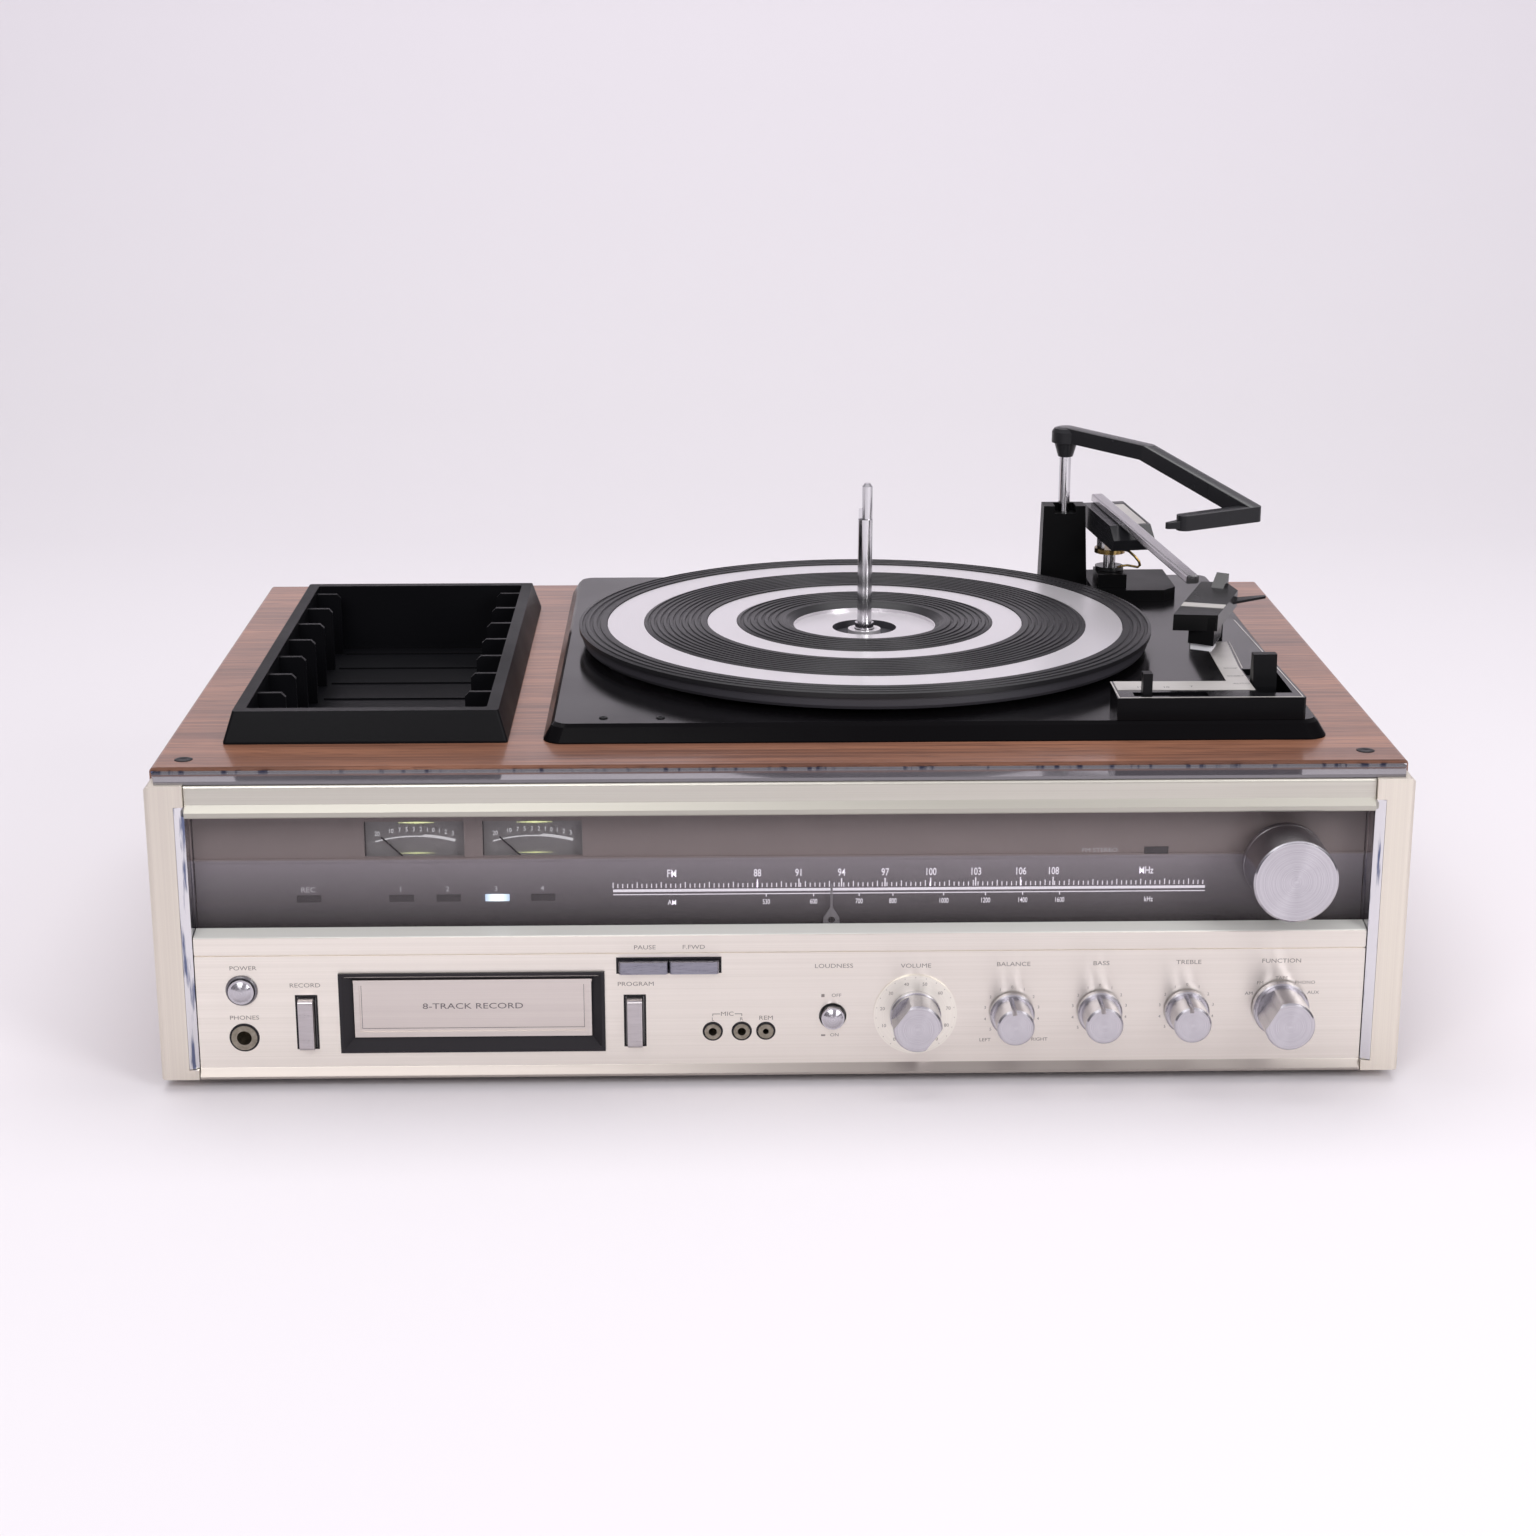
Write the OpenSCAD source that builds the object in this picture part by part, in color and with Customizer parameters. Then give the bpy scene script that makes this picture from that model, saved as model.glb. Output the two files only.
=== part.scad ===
// Compact stereo from the cartridge years: a record changer and a cartridge tray on a
// walnut cabinet, with a tuner, two level meters and an 8-track recorder in its front.
// X runs across the front, Y from the front to the back and Z up. The pieces are drawn
// from the front face of the end caps (y = 0) and the cabinet's bottom edge (z = 0),
// and at_base() then stands the whole player on its feet, centred over the origin.

/* [Cabinet] */
// Width over the two end caps
body_w = 540; // [520:1:580]
// Depth of the metal front frame
frame_d = 17; // [15:0.5:20]
// Depth of the wooden cabinet behind the frame
cab_d = 346; // [344:1:380]
// Height of the wooden top above the bottom edge
cab_h = 136.8; // [134:0.2:146]
// Thickness of the wooden boards
board_t = 12; // [9:0.5:15]
// Rounding of the cabinet's long top edges
board_r = 2; // [1:0.5:3]
// Thickness of the sheet steel bottom
pan_t = 2; // [1.5:0.5:3]
// Thickness of the hardboard back
back_t = 3; // [2:0.5:4]
// Height of the rubber feet
foot_h = 5; // [3:0.5:9]
// Radius of the rubber feet
foot_r = 11; // [8:0.5:14]
// Distance of the feet from the cabinet's edges
foot_in = 38; // [30:1:60]

/* [Front frame] */
// Width of an end cap's front face
cap_w = 16.6; // [14:0.2:20]
// Drop of the caps' top below the wooden top
cap_drop = 3.5; // [2.5:0.1:5]
// Rounding of the caps' outer edges
cap_r = 3; // [1:0.5:4]
// Width of the bright strip let into each cap
strip_w = 4.1; // [3:0.1:6]
// Height at which the bright strips start
strip_low = 4.5; // [3:0.5:8]
// Height of the trim bar over the dial window
trim_h = 14.3; // [11:0.1:18]
// Depth of the trim bar
trim_d = 9; // [7:0.5:11]
// Height of the lower panel
panel_h = 63.8; // [62:0.2:66]
// Recess of the lower panel behind the caps
panel_y = 3; // [2:0.5:5]
// Sheet thickness of the lower panel
panel_t = 1.5; // [1:0.1:2]
// Height of the band above the panel's groove
band_h = 7.2; // [5:0.2:10]
// Recess of the dial window behind the caps
window_y = 11.8; // [10:0.2:13]
// Thickness of the dial window
window_t = 2; // [1.5:0.1:3]
// Space between the window and the dial plate
dial_gap = 3; // [2.6:0.2:4]
// Thickness of the dial plate
dial_t = 1.6; // [1:0.1:2]

/* [Dial] */
// Width of a level meter's window
meter_w = 43; // [36:1:46]
// Height of a level meter's window
meter_h = 16; // [12:0.5:18]
// Distance between the two meters' centres
meter_pitch = 50.9; // [48:0.1:60]
// Left meter's centre, from the middle of the front
meter_x = -158.3; // [-170:0.1:-140]
// Depth of a meter's housing
meter_d = 22; // [15:1:30]
// Place of the pointer from the middle of the front
pointer_x = 21.7; // [0:0.1:60]
// Travel of the pointer to the left of its place
pointer_left = 36; // [20:1:40]
// Travel of the pointer to the right of its place
pointer_right = 102; // [80:1:110]
// Radius of the pointer's rail
rail_r = 1.2; // [1:0.1:1.5]
// Width of an indicator lamp
lamp_w = 10.4; // [8:0.1:12]
// Height of an indicator lamp
lamp_h = 3; // [2:0.1:4]

/* [Controls] */
// Radius of the tuning knob
tuning_r = 18.1; // [15:0.1:20]
// Length of the tuning knob
tuning_len = 28; // [22:1:30]
// Radius of the volume knob
volume_r = 10.6; // [9:0.1:13]
// Radius of the three tone and balance knobs
tone_r = 8.1; // [7:0.1:9.5]
// Radius of the function knob
function_r = 10.7; // [9:0.1:12]
// Length of the volume, tone and balance knobs
knob_len = 18.5; // [14:0.5:21]
// Length of the function knob
function_len = 24.5; // [22:0.5:28]
// Radius of the knobs' shafts
shaft_r = 3; // [2.5:0.1:3.5]
// Radius of the volume scale's disc
scale_r = 18.2; // [15:0.1:20]
// Travel of a push key
key_travel = 2.5; // [1.5:0.1:3]
// Bore of the headphone jack
phones_r = 3.2; // [3.1:0.05:3.4]
// Bore of the two microphone jacks
mic_r = 1.8; // [1.7:0.05:2]
// Bore of the remote jack
remote_r = 1.3; // [1.25:0.05:1.5]

/* [Cartridge recorder] */
// Width of the cartridge door
door_w = 103; // [102:0.5:108]
// Height of the cartridge door
door_h = 26.4; // [24:0.2:27]
// Thickness of the cartridge door
door_t = 1.8; // [1.4:0.1:2.4]
// Middle of the door, from the middle of the front
door_x = -134.3; // [-140:0.1:-128]
// Height of the door's bottom edge
door_low = 17.1; // [15:0.1:19]
// Depth of the cartridge guide
guide_d = 128; // [115:1:140]
// Sheet thickness of the cartridge guide
guide_t = 1.2; // [0.8:0.1:2]
// Radius of the capstan's shaft
capstan_r = 2; // [1.5:0.1:2.5]
// Radius of the capstan's flywheel
flywheel_r = 32; // [25:1:36]

/* [Cartridge tray] */
// Inner width of the tray, for one cartridge
tray_w = 106; // [103:0.5:112]
// Inner length of the tray
tray_l = 241; // [235:1:262]
// Depth of the tray below its rim
tray_depth = 33.8; // [28:0.2:40]
// Height of the tray's rim above the wooden top
tray_rim = 14; // [8:0.5:18]
// Wall of the tray below the wooden top
tray_t = 2.5; // [2:0.1:3.5]
// Middle of the tray, from the middle of the front
tray_x = -182; // [-186:0.5:-178]
// Distance of the tray's inside from the caps' front face
tray_y = 61; // [56:1:70]
// Number of fins along each side
fin_count = 7; // [5:1:7]
// Distance between the fins
fin_pitch = 32.9; // [28:0.1:33]
// Distance of the first fin from the tray's front wall
fin_first = 34; // [28:0.5:36]
// Length of a fin
fin_l = 12.5; // [8:0.5:16]
// Thickness of a fin
fin_t = 2.5; // [2:0.1:4]

/* [Turntable] */
// Width of the changer's deck
deck_w = 346.9; // [340:1:352]
// Depth of the changer's deck
deck_l = 302; // [298:1:306]
// Height of the deck above the wooden top
deck_h = 8; // [6:0.5:10]
// Sheet thickness of the deck
deck_t = 1.6; // [1.2:0.1:2.5]
// Middle of the deck, from the middle of the front
deck_x = 69.2; // [66:0.2:72]
// Distance of the deck from the caps' front face
deck_y = 49; // [44:0.5:52]
// Radius of the record mat
mat_r = 139.6; // [132:0.2:141]
// Thickness of the record mat
mat_t = 2.5; // [1.5:0.1:4]
// Depth of the platter's rim
platter_h = 5.6; // [5:0.2:8]
// Gap between the deck and the platter's rim
platter_gap = 2.8; // [2:0.1:4]
// Platter's centre, from the middle of the front
platter_x = 45.3; // [43:0.1:48]
// Platter's centre, from the caps' front face
platter_y = 201.6; // [199:0.1:204]
// Radius of the spindle
spindle_r = 3.55; // [3.4:0.05:3.6]
// Height of the spindle's shoulder above the mat
spindle_h = 50; // [40:1:60]
// Radius of the idler wheel
idler_r = 22; // [18:1:26]
// Radius of the motor's pulley
pulley_r = 4; // [3:0.5:6]

/* [Tonearm] */
// Pivot's place from the middle of the front
pivot_x = 179.5; // [178:0.5:183]
// Pivot's place from the caps' front face
pivot_y = 302; // [298:0.5:308]
// Height of the arm's hinge above the deck
pivot_h = 36; // [33:0.5:42]
// Distance from the pivot to the stylus
arm_l = 179; // [170:1:184]
// Angle of the parked arm from straight ahead
arm_park = 10.5; // [9:0.1:12]
// Slope of the arm towards the head
arm_slope = 4.6; // [2:0.1:6]
// Width of the arm's flat tube
tube_w = 6.4; // [5:0.1:8]
// Height of the arm's flat tube
tube_h = 4.2; // [3:0.1:6]
// Radius of the record holder's post
post_r = 3; // [2.5:0.1:3.5]
// Travel of the record holder's post
post_travel = 10; // [6:0.5:11]

/* [Fits] */
// Gap between neighbouring fixed pieces
fit = 0.3; // [0.2:0.05:0.4]
// Radial clearance of a running fit
run = 0.05; // [0.02:0.01:0.09]
// Gap round a push key or a lever
slip = 0.4; // [0.3:0.05:0.8]

/* [Hidden] */
$fn = 96;

// Places worked out from the sizes above
half_w = body_w / 2;
in_x = half_w - cap_w;
cap_h = cab_h - cap_drop;
strip_top = cap_h - trim_h + 5;
back_y = frame_d + cab_d;
under_top = cab_h - board_t;
deck_z = cab_h + deck_h;
fitting_d = 9;
reach_front = min(panel_y - function_len, window_y - tuning_len);
reach_back = back_y - 1 + fitting_d;
mid_y = (reach_front + reach_back) / 2;

// Stands the player on its feet, centred over the origin
module at_base() {
    translate([0, -mid_y, foot_h]) children();
}

// Block from one corner to the opposite one
module block(low, high) {
    translate(low) cube(high - low);
}

// Round bar along Y, at x and z, from one depth to another
module bar_y(x, z, from, to, r) {
    translate([x, from, z]) rotate([-90, 0, 0]) cylinder(h = to - from, r = r);
}

// Round bar along X, at y and z, from one side to another
module bar_x(y, z, from, to, r) {
    translate([from, y, z]) rotate([0, 90, 0]) cylinder(h = to - from, r = r);
}

// Round bar standing at x and y, from one height to another
module bar_z(x, y, from, to, r) {
    translate([x, y, from]) cylinder(h = to - from, r = r);
}

// Outline in Y and Z, drawn out along X
module along_x(from, to) {
    translate([from, 0, 0]) rotate([90, 0, 90]) linear_extrude(to - from) children();
}

// Outline in X and Z, drawn out along Y
module along_y(from, to) {
    translate([0, to, 0]) rotate([90, 0, 0]) linear_extrude(to - from) children();
}

// Rectangle with true round corners, from one corner to the opposite one
module round_rect(low, high, r) {
    translate([low[0] + r, low[1]]) square([high[0] - low[0] - 2 * r, high[1] - low[1]]);
    translate([low[0], low[1] + r]) square([high[0] - low[0], high[1] - low[1] - 2 * r]);
    for (x = [low[0] + r, high[0] - r], y = [low[1] + r, high[1] - r])
        translate([x, y]) circle(r);
}

// ---- Cabinet ----

tray_out = tray_w / 2 + tray_t;
deck_hole_in = 9;
deck_x0 = deck_x - deck_w / 2;
deck_x1 = deck_x + deck_w / 2;
deck_y1 = deck_y + deck_l;

// Wooden shell: two sides and a top cut out for the tray and the changer
module cabinet() color("saddlebrown") at_base() difference() {
    along_y(frame_d + fit, back_y) difference() {
        union() {
            round_rect([-half_w, 2 * board_r], [half_w, cab_h], board_r);
            translate([-half_w, 0]) square([body_w, 4 * board_r]);
        }
        translate([-half_w + board_t, -1]) square([body_w - 2 * board_t, under_top + 1]);
    }
    block([tray_x - tray_out - 1, tray_y - tray_t - 1, under_top - 1],
          [tray_x + tray_out + 1, tray_y + tray_l + tray_t + 1, cab_h + 1]);
    block([deck_x0 + deck_hole_in, deck_y + deck_hole_in, under_top - 1],
          [deck_x1 - deck_hole_in, deck_y1 - deck_hole_in, cab_h + 1]);
}

side_in = half_w - board_t - fit;
vent_l = 60;
vent_w = 4;
vent_row = 12;
pan_vent_xs = [90, 170];
pan_vent_y = 110;

// Sheet steel bottom with two rows of vents
module bottom_pan() color("dimgray") at_base() difference() {
    union() {
        block([-side_in, frame_d + fit, 0], [side_in, back_y - 1, pan_t]);
        for (y = [frame_d + fit, back_y - back_t - fit - 1 - pan_t])
            block([-side_in, y, 0], [side_in, y + pan_t, 3 * pan_t]);
    }
    for (x = pan_vent_xs, row = [0:6])
        block([x, pan_vent_y + vent_row * row, -1],
              [x + vent_l, pan_vent_y + vent_row * row + vent_w, pan_t + 1]);
}

plate_w = 230;
plate_low = 22;
plate_high = 86;
plate_x = 60;
back_vent_l = 36;
back_vent_pitch = 50;
back_vent_from = -220;

// Hardboard back with rows of vents and a window for the terminals
module back_panel() color("sienna") at_base() difference() {
    block([-side_in, back_y - back_t - 1, pan_t + fit], [side_in, back_y - 1, under_top - fit]);
    block([plate_x - plate_w / 2 + 8, back_y - 10, plate_low + 8],
          [plate_x + plate_w / 2 - 8, back_y + 1, plate_high - 8]);
    for (i = [0:7], row = [0:1])
        block([back_vent_from + back_vent_pitch * i, back_y - 10, 98 + 10 * row],
              [back_vent_from + back_vent_pitch * i + back_vent_l, back_y + 1, 98 + 10 * row + vent_w]);
    for (i = [0:2], row = [0:2])
        block([back_vent_from + back_vent_pitch * i, back_y - 10, 40 + 14 * row],
              [back_vent_from + back_vent_pitch * i + back_vent_l, back_y + 1, 40 + 14 * row + vent_w]);
}

jack_row = 40;
jack_pitch = 20;
rear_y = back_y - 1;

// Places of the four phono sockets and of the four loudspeaker sockets
phono_places = [for (i = [0:1], j = [0:1]) [-20 + jack_pitch * i, jack_row + jack_pitch * j]];
speaker_places = [for (i = [0:1], j = [0:1]) [50 + jack_pitch * i, jack_row + jack_pitch * j]];
aerial_places = [for (i = [0:3]) [102 + 12 * i, 64]];
gland_place = [140, 38];

// Steel plate that carries the terminals
module terminal_plate() color("silver") at_base() difference() {
    block([plate_x - plate_w / 2, rear_y, plate_low], [plate_x + plate_w / 2, rear_y + 1, plate_high]);
    for (p = concat(phono_places, speaker_places)) bar_y(p[0], p[1], rear_y - 1, rear_y + 2, 3.3);
    for (p = aerial_places) bar_y(p[0], p[1], rear_y - 1, rear_y + 2, 1.8);
    bar_y(gland_place[0], gland_place[1], rear_y - 1, rear_y + 2, 6.3);
}

// One phono socket: flange, hollow shell and the bush behind the plate
module phono_socket(p) difference() {
    union() {
        bar_y(p[0], p[1], rear_y + 1, rear_y + 2, 6);
        bar_y(p[0], p[1], rear_y + 2, rear_y + fitting_d, 4.15);
        bar_y(p[0], p[1], rear_y - 4, rear_y + 1, 3);
    }
    bar_y(p[0], p[1], rear_y + 1, rear_y + fitting_d + 1, 1.65);
}

// Phono and loudspeaker sockets, aerial screws and the empty mains gland
module rear_fittings() color("gainsboro") at_base() {
    for (p = concat(phono_places, speaker_places)) phono_socket(p);
    for (p = aerial_places) {
        bar_y(p[0], p[1], rear_y - 4, rear_y + 4, 1.5);
        bar_y(p[0], p[1], rear_y + 4, rear_y + 6.5, 3.6);
    }
    difference() {
        union() {
            bar_y(gland_place[0], gland_place[1], rear_y - 3, rear_y + 1, 6);
            bar_y(gland_place[0], gland_place[1], rear_y + 1, rear_y + 4, 8);
        }
        bar_y(gland_place[0], gland_place[1], rear_y - 4, rear_y + 5, 3.5);
    }
}

// Four rubber feet, hollow round their screws
module feet() color("black") at_base() {
    for (x = [-1, 1], y = [frame_d + foot_in, back_y - foot_in])
        translate([x * (half_w - foot_in), y, -foot_h]) difference() {
            cylinder(h = foot_h, r1 = foot_r - 1, r2 = foot_r);
            translate([0, 0, -1]) cylinder(h = foot_h / 2 + 1, r = foot_r / 2);
        }
}

// ---- Front frame ----

// Front view of the right end cap, with the notch for its bright strip
module cap_front() difference() {
    union() {
        translate([in_x, 0]) square([cap_w, cap_h - cap_r]);
        translate([in_x, cap_h - cap_r - 1]) square([cap_w - cap_r, cap_r + 1]);
        translate([half_w - cap_r, cap_h - cap_r]) circle(cap_r);
    }
    translate([in_x - 1, strip_low]) square([strip_w + 1, strip_top - strip_low]);
}

// Plan of the right end cap, with its front edges rounded
module cap_plan() {
    translate([in_x - 1, 0]) square([cap_w + 1 - cap_r, frame_d]);
    translate([in_x - 1, cap_r]) square([cap_w + 1, frame_d - cap_r]);
    translate([half_w - cap_r, cap_r]) circle(cap_r);
}

// Two metal end caps
module end_caps() color("wheat") at_base() for (side = [0, 1]) mirror([side, 0, 0])
    intersection() {
        along_y(0, frame_d) cap_front();
        linear_extrude(cap_h) cap_plan();
    }

bead_d = 1.4;
ledge_t = 1.4;

// Bright strips in the caps' notches, and the bead at the back of the ledge
module bright_strips() color("lightsteelblue") at_base() {
    for (side = [0, 1]) mirror([side, 0, 0]) translate([0, 0, strip_low + fit])
        linear_extrude(strip_top - strip_low - 2 * fit) polygon([
            [in_x, frame_d], [in_x, 2.2], [in_x + strip_w - 0.6, 0.3],
            [in_x + strip_w - 0.1, 0.3], [in_x + strip_w - 0.1, frame_d],
        ]);
    block([-half_w + 1, frame_d - bead_d, cap_h], [half_w - 1, frame_d, cap_h + ledge_t + 0.8]);
}

front_half = in_x - fit;
trim_low = cap_h - trim_h;

// Trim bar over the window: rounded top, flat face and a lip that leans forward
module trim_bar() color("wheat") at_base() along_x(-front_half, front_half) difference() {
    polygon([
        [0.4, trim_low], [0, trim_low + 0.6], [0, trim_low + 2.4], [2.2, trim_low + 5.4],
        [2.2, cap_h], [trim_d, cap_h], [trim_d, cap_h - 2.5],
        [7, cap_h - 2.5], [5, cap_h - 4.5], [5, trim_low + 1.5], [3.5, trim_low],
    ]);
    difference() {
        translate([2.1, cap_h - 2]) square([2.1, 2.1]);
        translate([4.2, cap_h - 2]) circle(2);
    }
}

// Glossy black ledge between the trim bar and the wooden top
module top_ledge() color("black") at_base() translate([0, 0, cap_h])
    linear_extrude(ledge_t) polygon([
        [-half_w + 4.5, 2.6], [half_w - 4.5, 2.6],
        [half_w - 1, frame_d - bead_d - 0.1], [-half_w + 1, frame_d - bead_d - 0.1],
    ]);

window_back = window_y + window_t;
plate_y = window_back + dial_gap;
window_low = panel_h - 2;
window_high = cap_h - 3;

// Height in the dial's face, from the panel's top (0) to the trim bar (1)
function dial_at(share) = panel_h + share * (trim_low - panel_h);

volume_x = 57.9;
balance_x = 100;
bass_x = 138.2;
treble_x = 176.2;
function_x = 217;
tuning_x = 217.2;
tuning_z = dial_at(0.5235);

// Smoked window over the dial
module dial_window() color("dimgray", 0.6) at_base() difference() {
    block([-front_half, window_y + 0.1, window_low], [front_half, window_back, window_high]);
    bar_y(tuning_x, tuning_z, window_y - 1, window_back + 1, shaft_r + 1.2);
}

lamp_z = dial_at(0.24);
lamp_xs = [-204.6, -164.6, -144.3, -123.2, -103.4];
stereo_place = [162.6, dial_at(0.596)];
meter_z = dial_at(0.7265);
meter_xs = [meter_x, meter_x + meter_pitch];
ridge_z = dial_at(0.5616);
dial_low = 55;
lamp_places = concat([for (x = lamp_xs) [x, lamp_z]], [stereo_place]);

rail_y = window_back + 0.9;
rail_z = 57;
pointer_top = dial_at(0.3406);
rail_from = pointer_x - pointer_left - 12;
rail_to = pointer_x + pointer_right + 12;

// Dial plate with windows for the meters and the lamps, and the pointer's rail on it
module dial_plate() color("gray") at_base() difference() {
    union() {
        bar_x(rail_y, rail_z, rail_from, rail_to + 1, rail_r);
        for (x = [rail_from - 3, rail_to])
            block([x, rail_y - 1.8, rail_z - 2], [x + 3, plate_y + 0.5, rail_z + 3]);
        block([-front_half, plate_y, dial_low], [front_half, plate_y + dial_t, under_top - fit]);
        block([-front_half, plate_y - 1, ridge_z - 0.8], [front_half, plate_y, ridge_z + 0.8]);
    }
    for (x = meter_xs)
        block([x - meter_w / 2, plate_y - 2, meter_z - meter_h / 2],
              [x + meter_w / 2, plate_y + dial_t + 1, meter_z + meter_h / 2]);
    for (p = lamp_places)
        block([p[0] - lamp_w / 2 - 0.1, plate_y - 2, p[1] - lamp_h / 2 - 0.1],
              [p[0] + lamp_w / 2 + 0.1, plate_y + dial_t + 1, p[1] + lamp_h / 2 + 0.1]);
    bar_y(tuning_x, tuning_z, plate_y - 2, plate_y + dial_t + 1, shaft_r + run);
}

// Indicator lamps, each a lens with its holder behind the plate
module dial_lamps() color("ghostwhite") at_base() for (p = lamp_places) {
    block([p[0] - lamp_w / 2, plate_y - 0.3, p[1] - lamp_h / 2],
          [p[0] + lamp_w / 2, plate_y + dial_t, p[1] + lamp_h / 2]);
    block([p[0] - lamp_w / 2 - 1, plate_y + dial_t, p[1] - lamp_h / 2 - 1],
          [p[0] + lamp_w / 2 + 1, plate_y + dial_t + 9, p[1] + lamp_h / 2 + 1]);
}

needle_low = meter_z - meter_h / 2 - 6;
needle_y = plate_y + dial_t + 1.6;

// Two meter housings, open in front of their scales
module level_meters() color("darkslategray") at_base() for (x = meter_xs) difference() {
    block([x - meter_w / 2 - 2, plate_y + dial_t, meter_z - meter_h / 2 - 8.8],
          [x + meter_w / 2 + 2, plate_y + dial_t + meter_d, meter_z + meter_h / 2 + 2]);
    block([x - meter_w / 2, plate_y + dial_t - 1, meter_z - meter_h / 2 - 7.3],
          [x + meter_w / 2, plate_y + dial_t + 3, meter_z + meter_h / 2]);
    bar_y(x, needle_low, plate_y + dial_t, plate_y + dial_t + 6, 1 + run);
}

needle_l = 20;
needle_rest = 46;

// Meter needle on its pivot, leaning on the left stop
module needle(x) translate([x, 0, needle_low]) rotate([0, -needle_rest, 0]) {
    block([-0.3, needle_y - 0.3, 0], [0.3, needle_y + 0.3, needle_l]);
    bar_y(0, 0, needle_y - 0.8, plate_y + dial_t + 5.8, 1);
}

module left_needle() color("black") at_base() needle(meter_xs[0]);

module right_needle() color("black") at_base() needle(meter_xs[1]);

// Dial pointer: a slide on the rail, a forked foot and the needle
module dial_pointer() color("white") at_base() difference() {
    union() {
        block([pointer_x - 5, rail_y - 2.1, rail_z - 2.5], [pointer_x + 5, rail_y + 1.9, rail_z + 3.5]);
        block([pointer_x - 0.5, rail_y - 0.5, rail_z + 3], [pointer_x + 0.5, rail_y + 0.5, pointer_top]);
        along_y(rail_y - 0.5, rail_y + 0.5) polygon([
            [pointer_x - 4, rail_z + 3], [pointer_x + 4, rail_z + 3],
            [pointer_x + 3.4, rail_z + 10.5], [pointer_x, rail_z + 16], [pointer_x - 3.4, rail_z + 10.5],
        ]);
    }
    bar_x(rail_y, rail_z, pointer_x - 6, pointer_x + 6, rail_r + run);
    bar_y(pointer_x, rail_z + 9.5, rail_y - 1, rail_y + 1, 1.6);
}

// ---- Lower panel and its controls ----

power_place = [-233.5, 40.3];
phones_place = [-233.4, 18.5];
mic_places = [[-30.2, 19.6], [-17.6, 19.6]];
remote_place = [-7.1, 19.6];
loudness_place = [22, 26.3];
jack_wall = 0.9;
power_hole_r = 6.8;
loudness_hole_r = 6;
key_slots = [
    [[-210, 13.4], [-201.8, 37.2]],
    [[-68, 13.4], [-59.8, 36.2]],
    [[-71, 47.2], [-27, 53.4]],
];
bezel_w = door_w + 11.9;
bezel_low = door_low - 5.9;
bezel_high = door_low + door_h + 4.3;
knob_places = [
    [volume_x, 26.9], [balance_x, 27.1], [bass_x, 27.6], [treble_x, 27.7], [function_x, 29.1],
];
panel_in = panel_y + panel_t;
groove_z = panel_h - band_h - 0.8;

// Side view of the lower panel: bottom lip, face, groove, band and the ledge to the window
module panel_side() polygon([
    [0.6, 0], [0.6, 1], [panel_y, strip_low], [panel_y, groove_z],
    [panel_y + 0.6, groove_z + 0.2], [panel_y + 0.6, groove_z + 0.6], [panel_y, groove_z + 0.8],
    [panel_y, panel_h], [panel_y + 0.5, panel_h + 0.5], [window_y, panel_h + 2],
    [window_y, panel_h + 0.8], [panel_in + 0.5, panel_h - 0.8], [panel_in, panel_h - 1.4],
    [panel_in, 1.5], [frame_d, 1.5], [frame_d, 0],
]);

// Pressed metal panel with the holes for everything that comes through it
module lower_panel() color("wheat") at_base() difference() {
    along_x(-front_half, front_half) panel_side();
    block([door_x - bezel_w / 2 + 2, -1, bezel_low + 2],
          [door_x + bezel_w / 2 - 2, panel_in + 1, bezel_high - 2]);
    for (s = key_slots) block([s[0][0], -1, s[0][1]], [s[1][0], panel_in + 1, s[1][1]]);
    bar_y(power_place[0], power_place[1], -1, panel_in + 1, power_hole_r);
    bar_y(loudness_place[0], loudness_place[1], -1, panel_in + 1, loudness_hole_r);
    bar_y(phones_place[0], phones_place[1], -1, panel_in + 1, phones_r + jack_wall + 0.1);
    for (p = mic_places) bar_y(p[0], p[1], -1, panel_in + 1, mic_r + jack_wall + 0.1);
    bar_y(remote_place[0], remote_place[1], -1, panel_in + 1, remote_r + jack_wall + 0.1);
    for (p = knob_places) bar_y(p[0], p[1], -1, panel_in + 1, shaft_r + 0.4);
}

jack_d = 14;

// One jack: a ring on the panel and a bushed barrel behind it
module jack(p, r, ring) difference() {
    union() {
        bar_y(p[0], p[1], panel_y - 0.8, panel_y, ring);
        bar_y(p[0], p[1], panel_y, panel_y + jack_d, r + jack_wall);
        block([p[0] - r - 1.6, panel_in, p[1] - r - 1.6], [p[0] + r + 1.6, panel_y + jack_d, p[1] + r + 1.6]);
    }
    bar_y(p[0], p[1], panel_y - 1, panel_y + jack_d - 1, r);
}

module front_jacks() color("silver") at_base() {
    jack(phones_place, phones_r, 5.6);
    for (p = mic_places) jack(p, mic_r, 3.5);
    jack(remote_place, remote_r, 3.3);
}

stem_d = 10;
guide_y = panel_in + stem_d;
button_r = 5.5;
loudness_r = 5;

// Push button: domed cap, stem and the switch it presses at the end of its travel
module round_button(p, r, out) {
    bar_y(p[0], p[1], panel_y - out + 1.4, panel_in, r);
    translate([p[0], panel_y - out + 1.4, p[1]]) rotate([90, 0, 0]) intersection() {
        cylinder(h = 1.4, r = r);
        translate([0, 0, 1.4 - 1.5 * r]) sphere(r * 1.5);
    }
    bar_y(p[0], p[1], panel_in, guide_y - key_travel - fit, r / 2);
}

module power_button() color("silver") at_base() round_button(power_place, button_r, 4);

module loudness_button() color("silver") at_base() round_button(loudness_place, loudness_r, 5);

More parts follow.
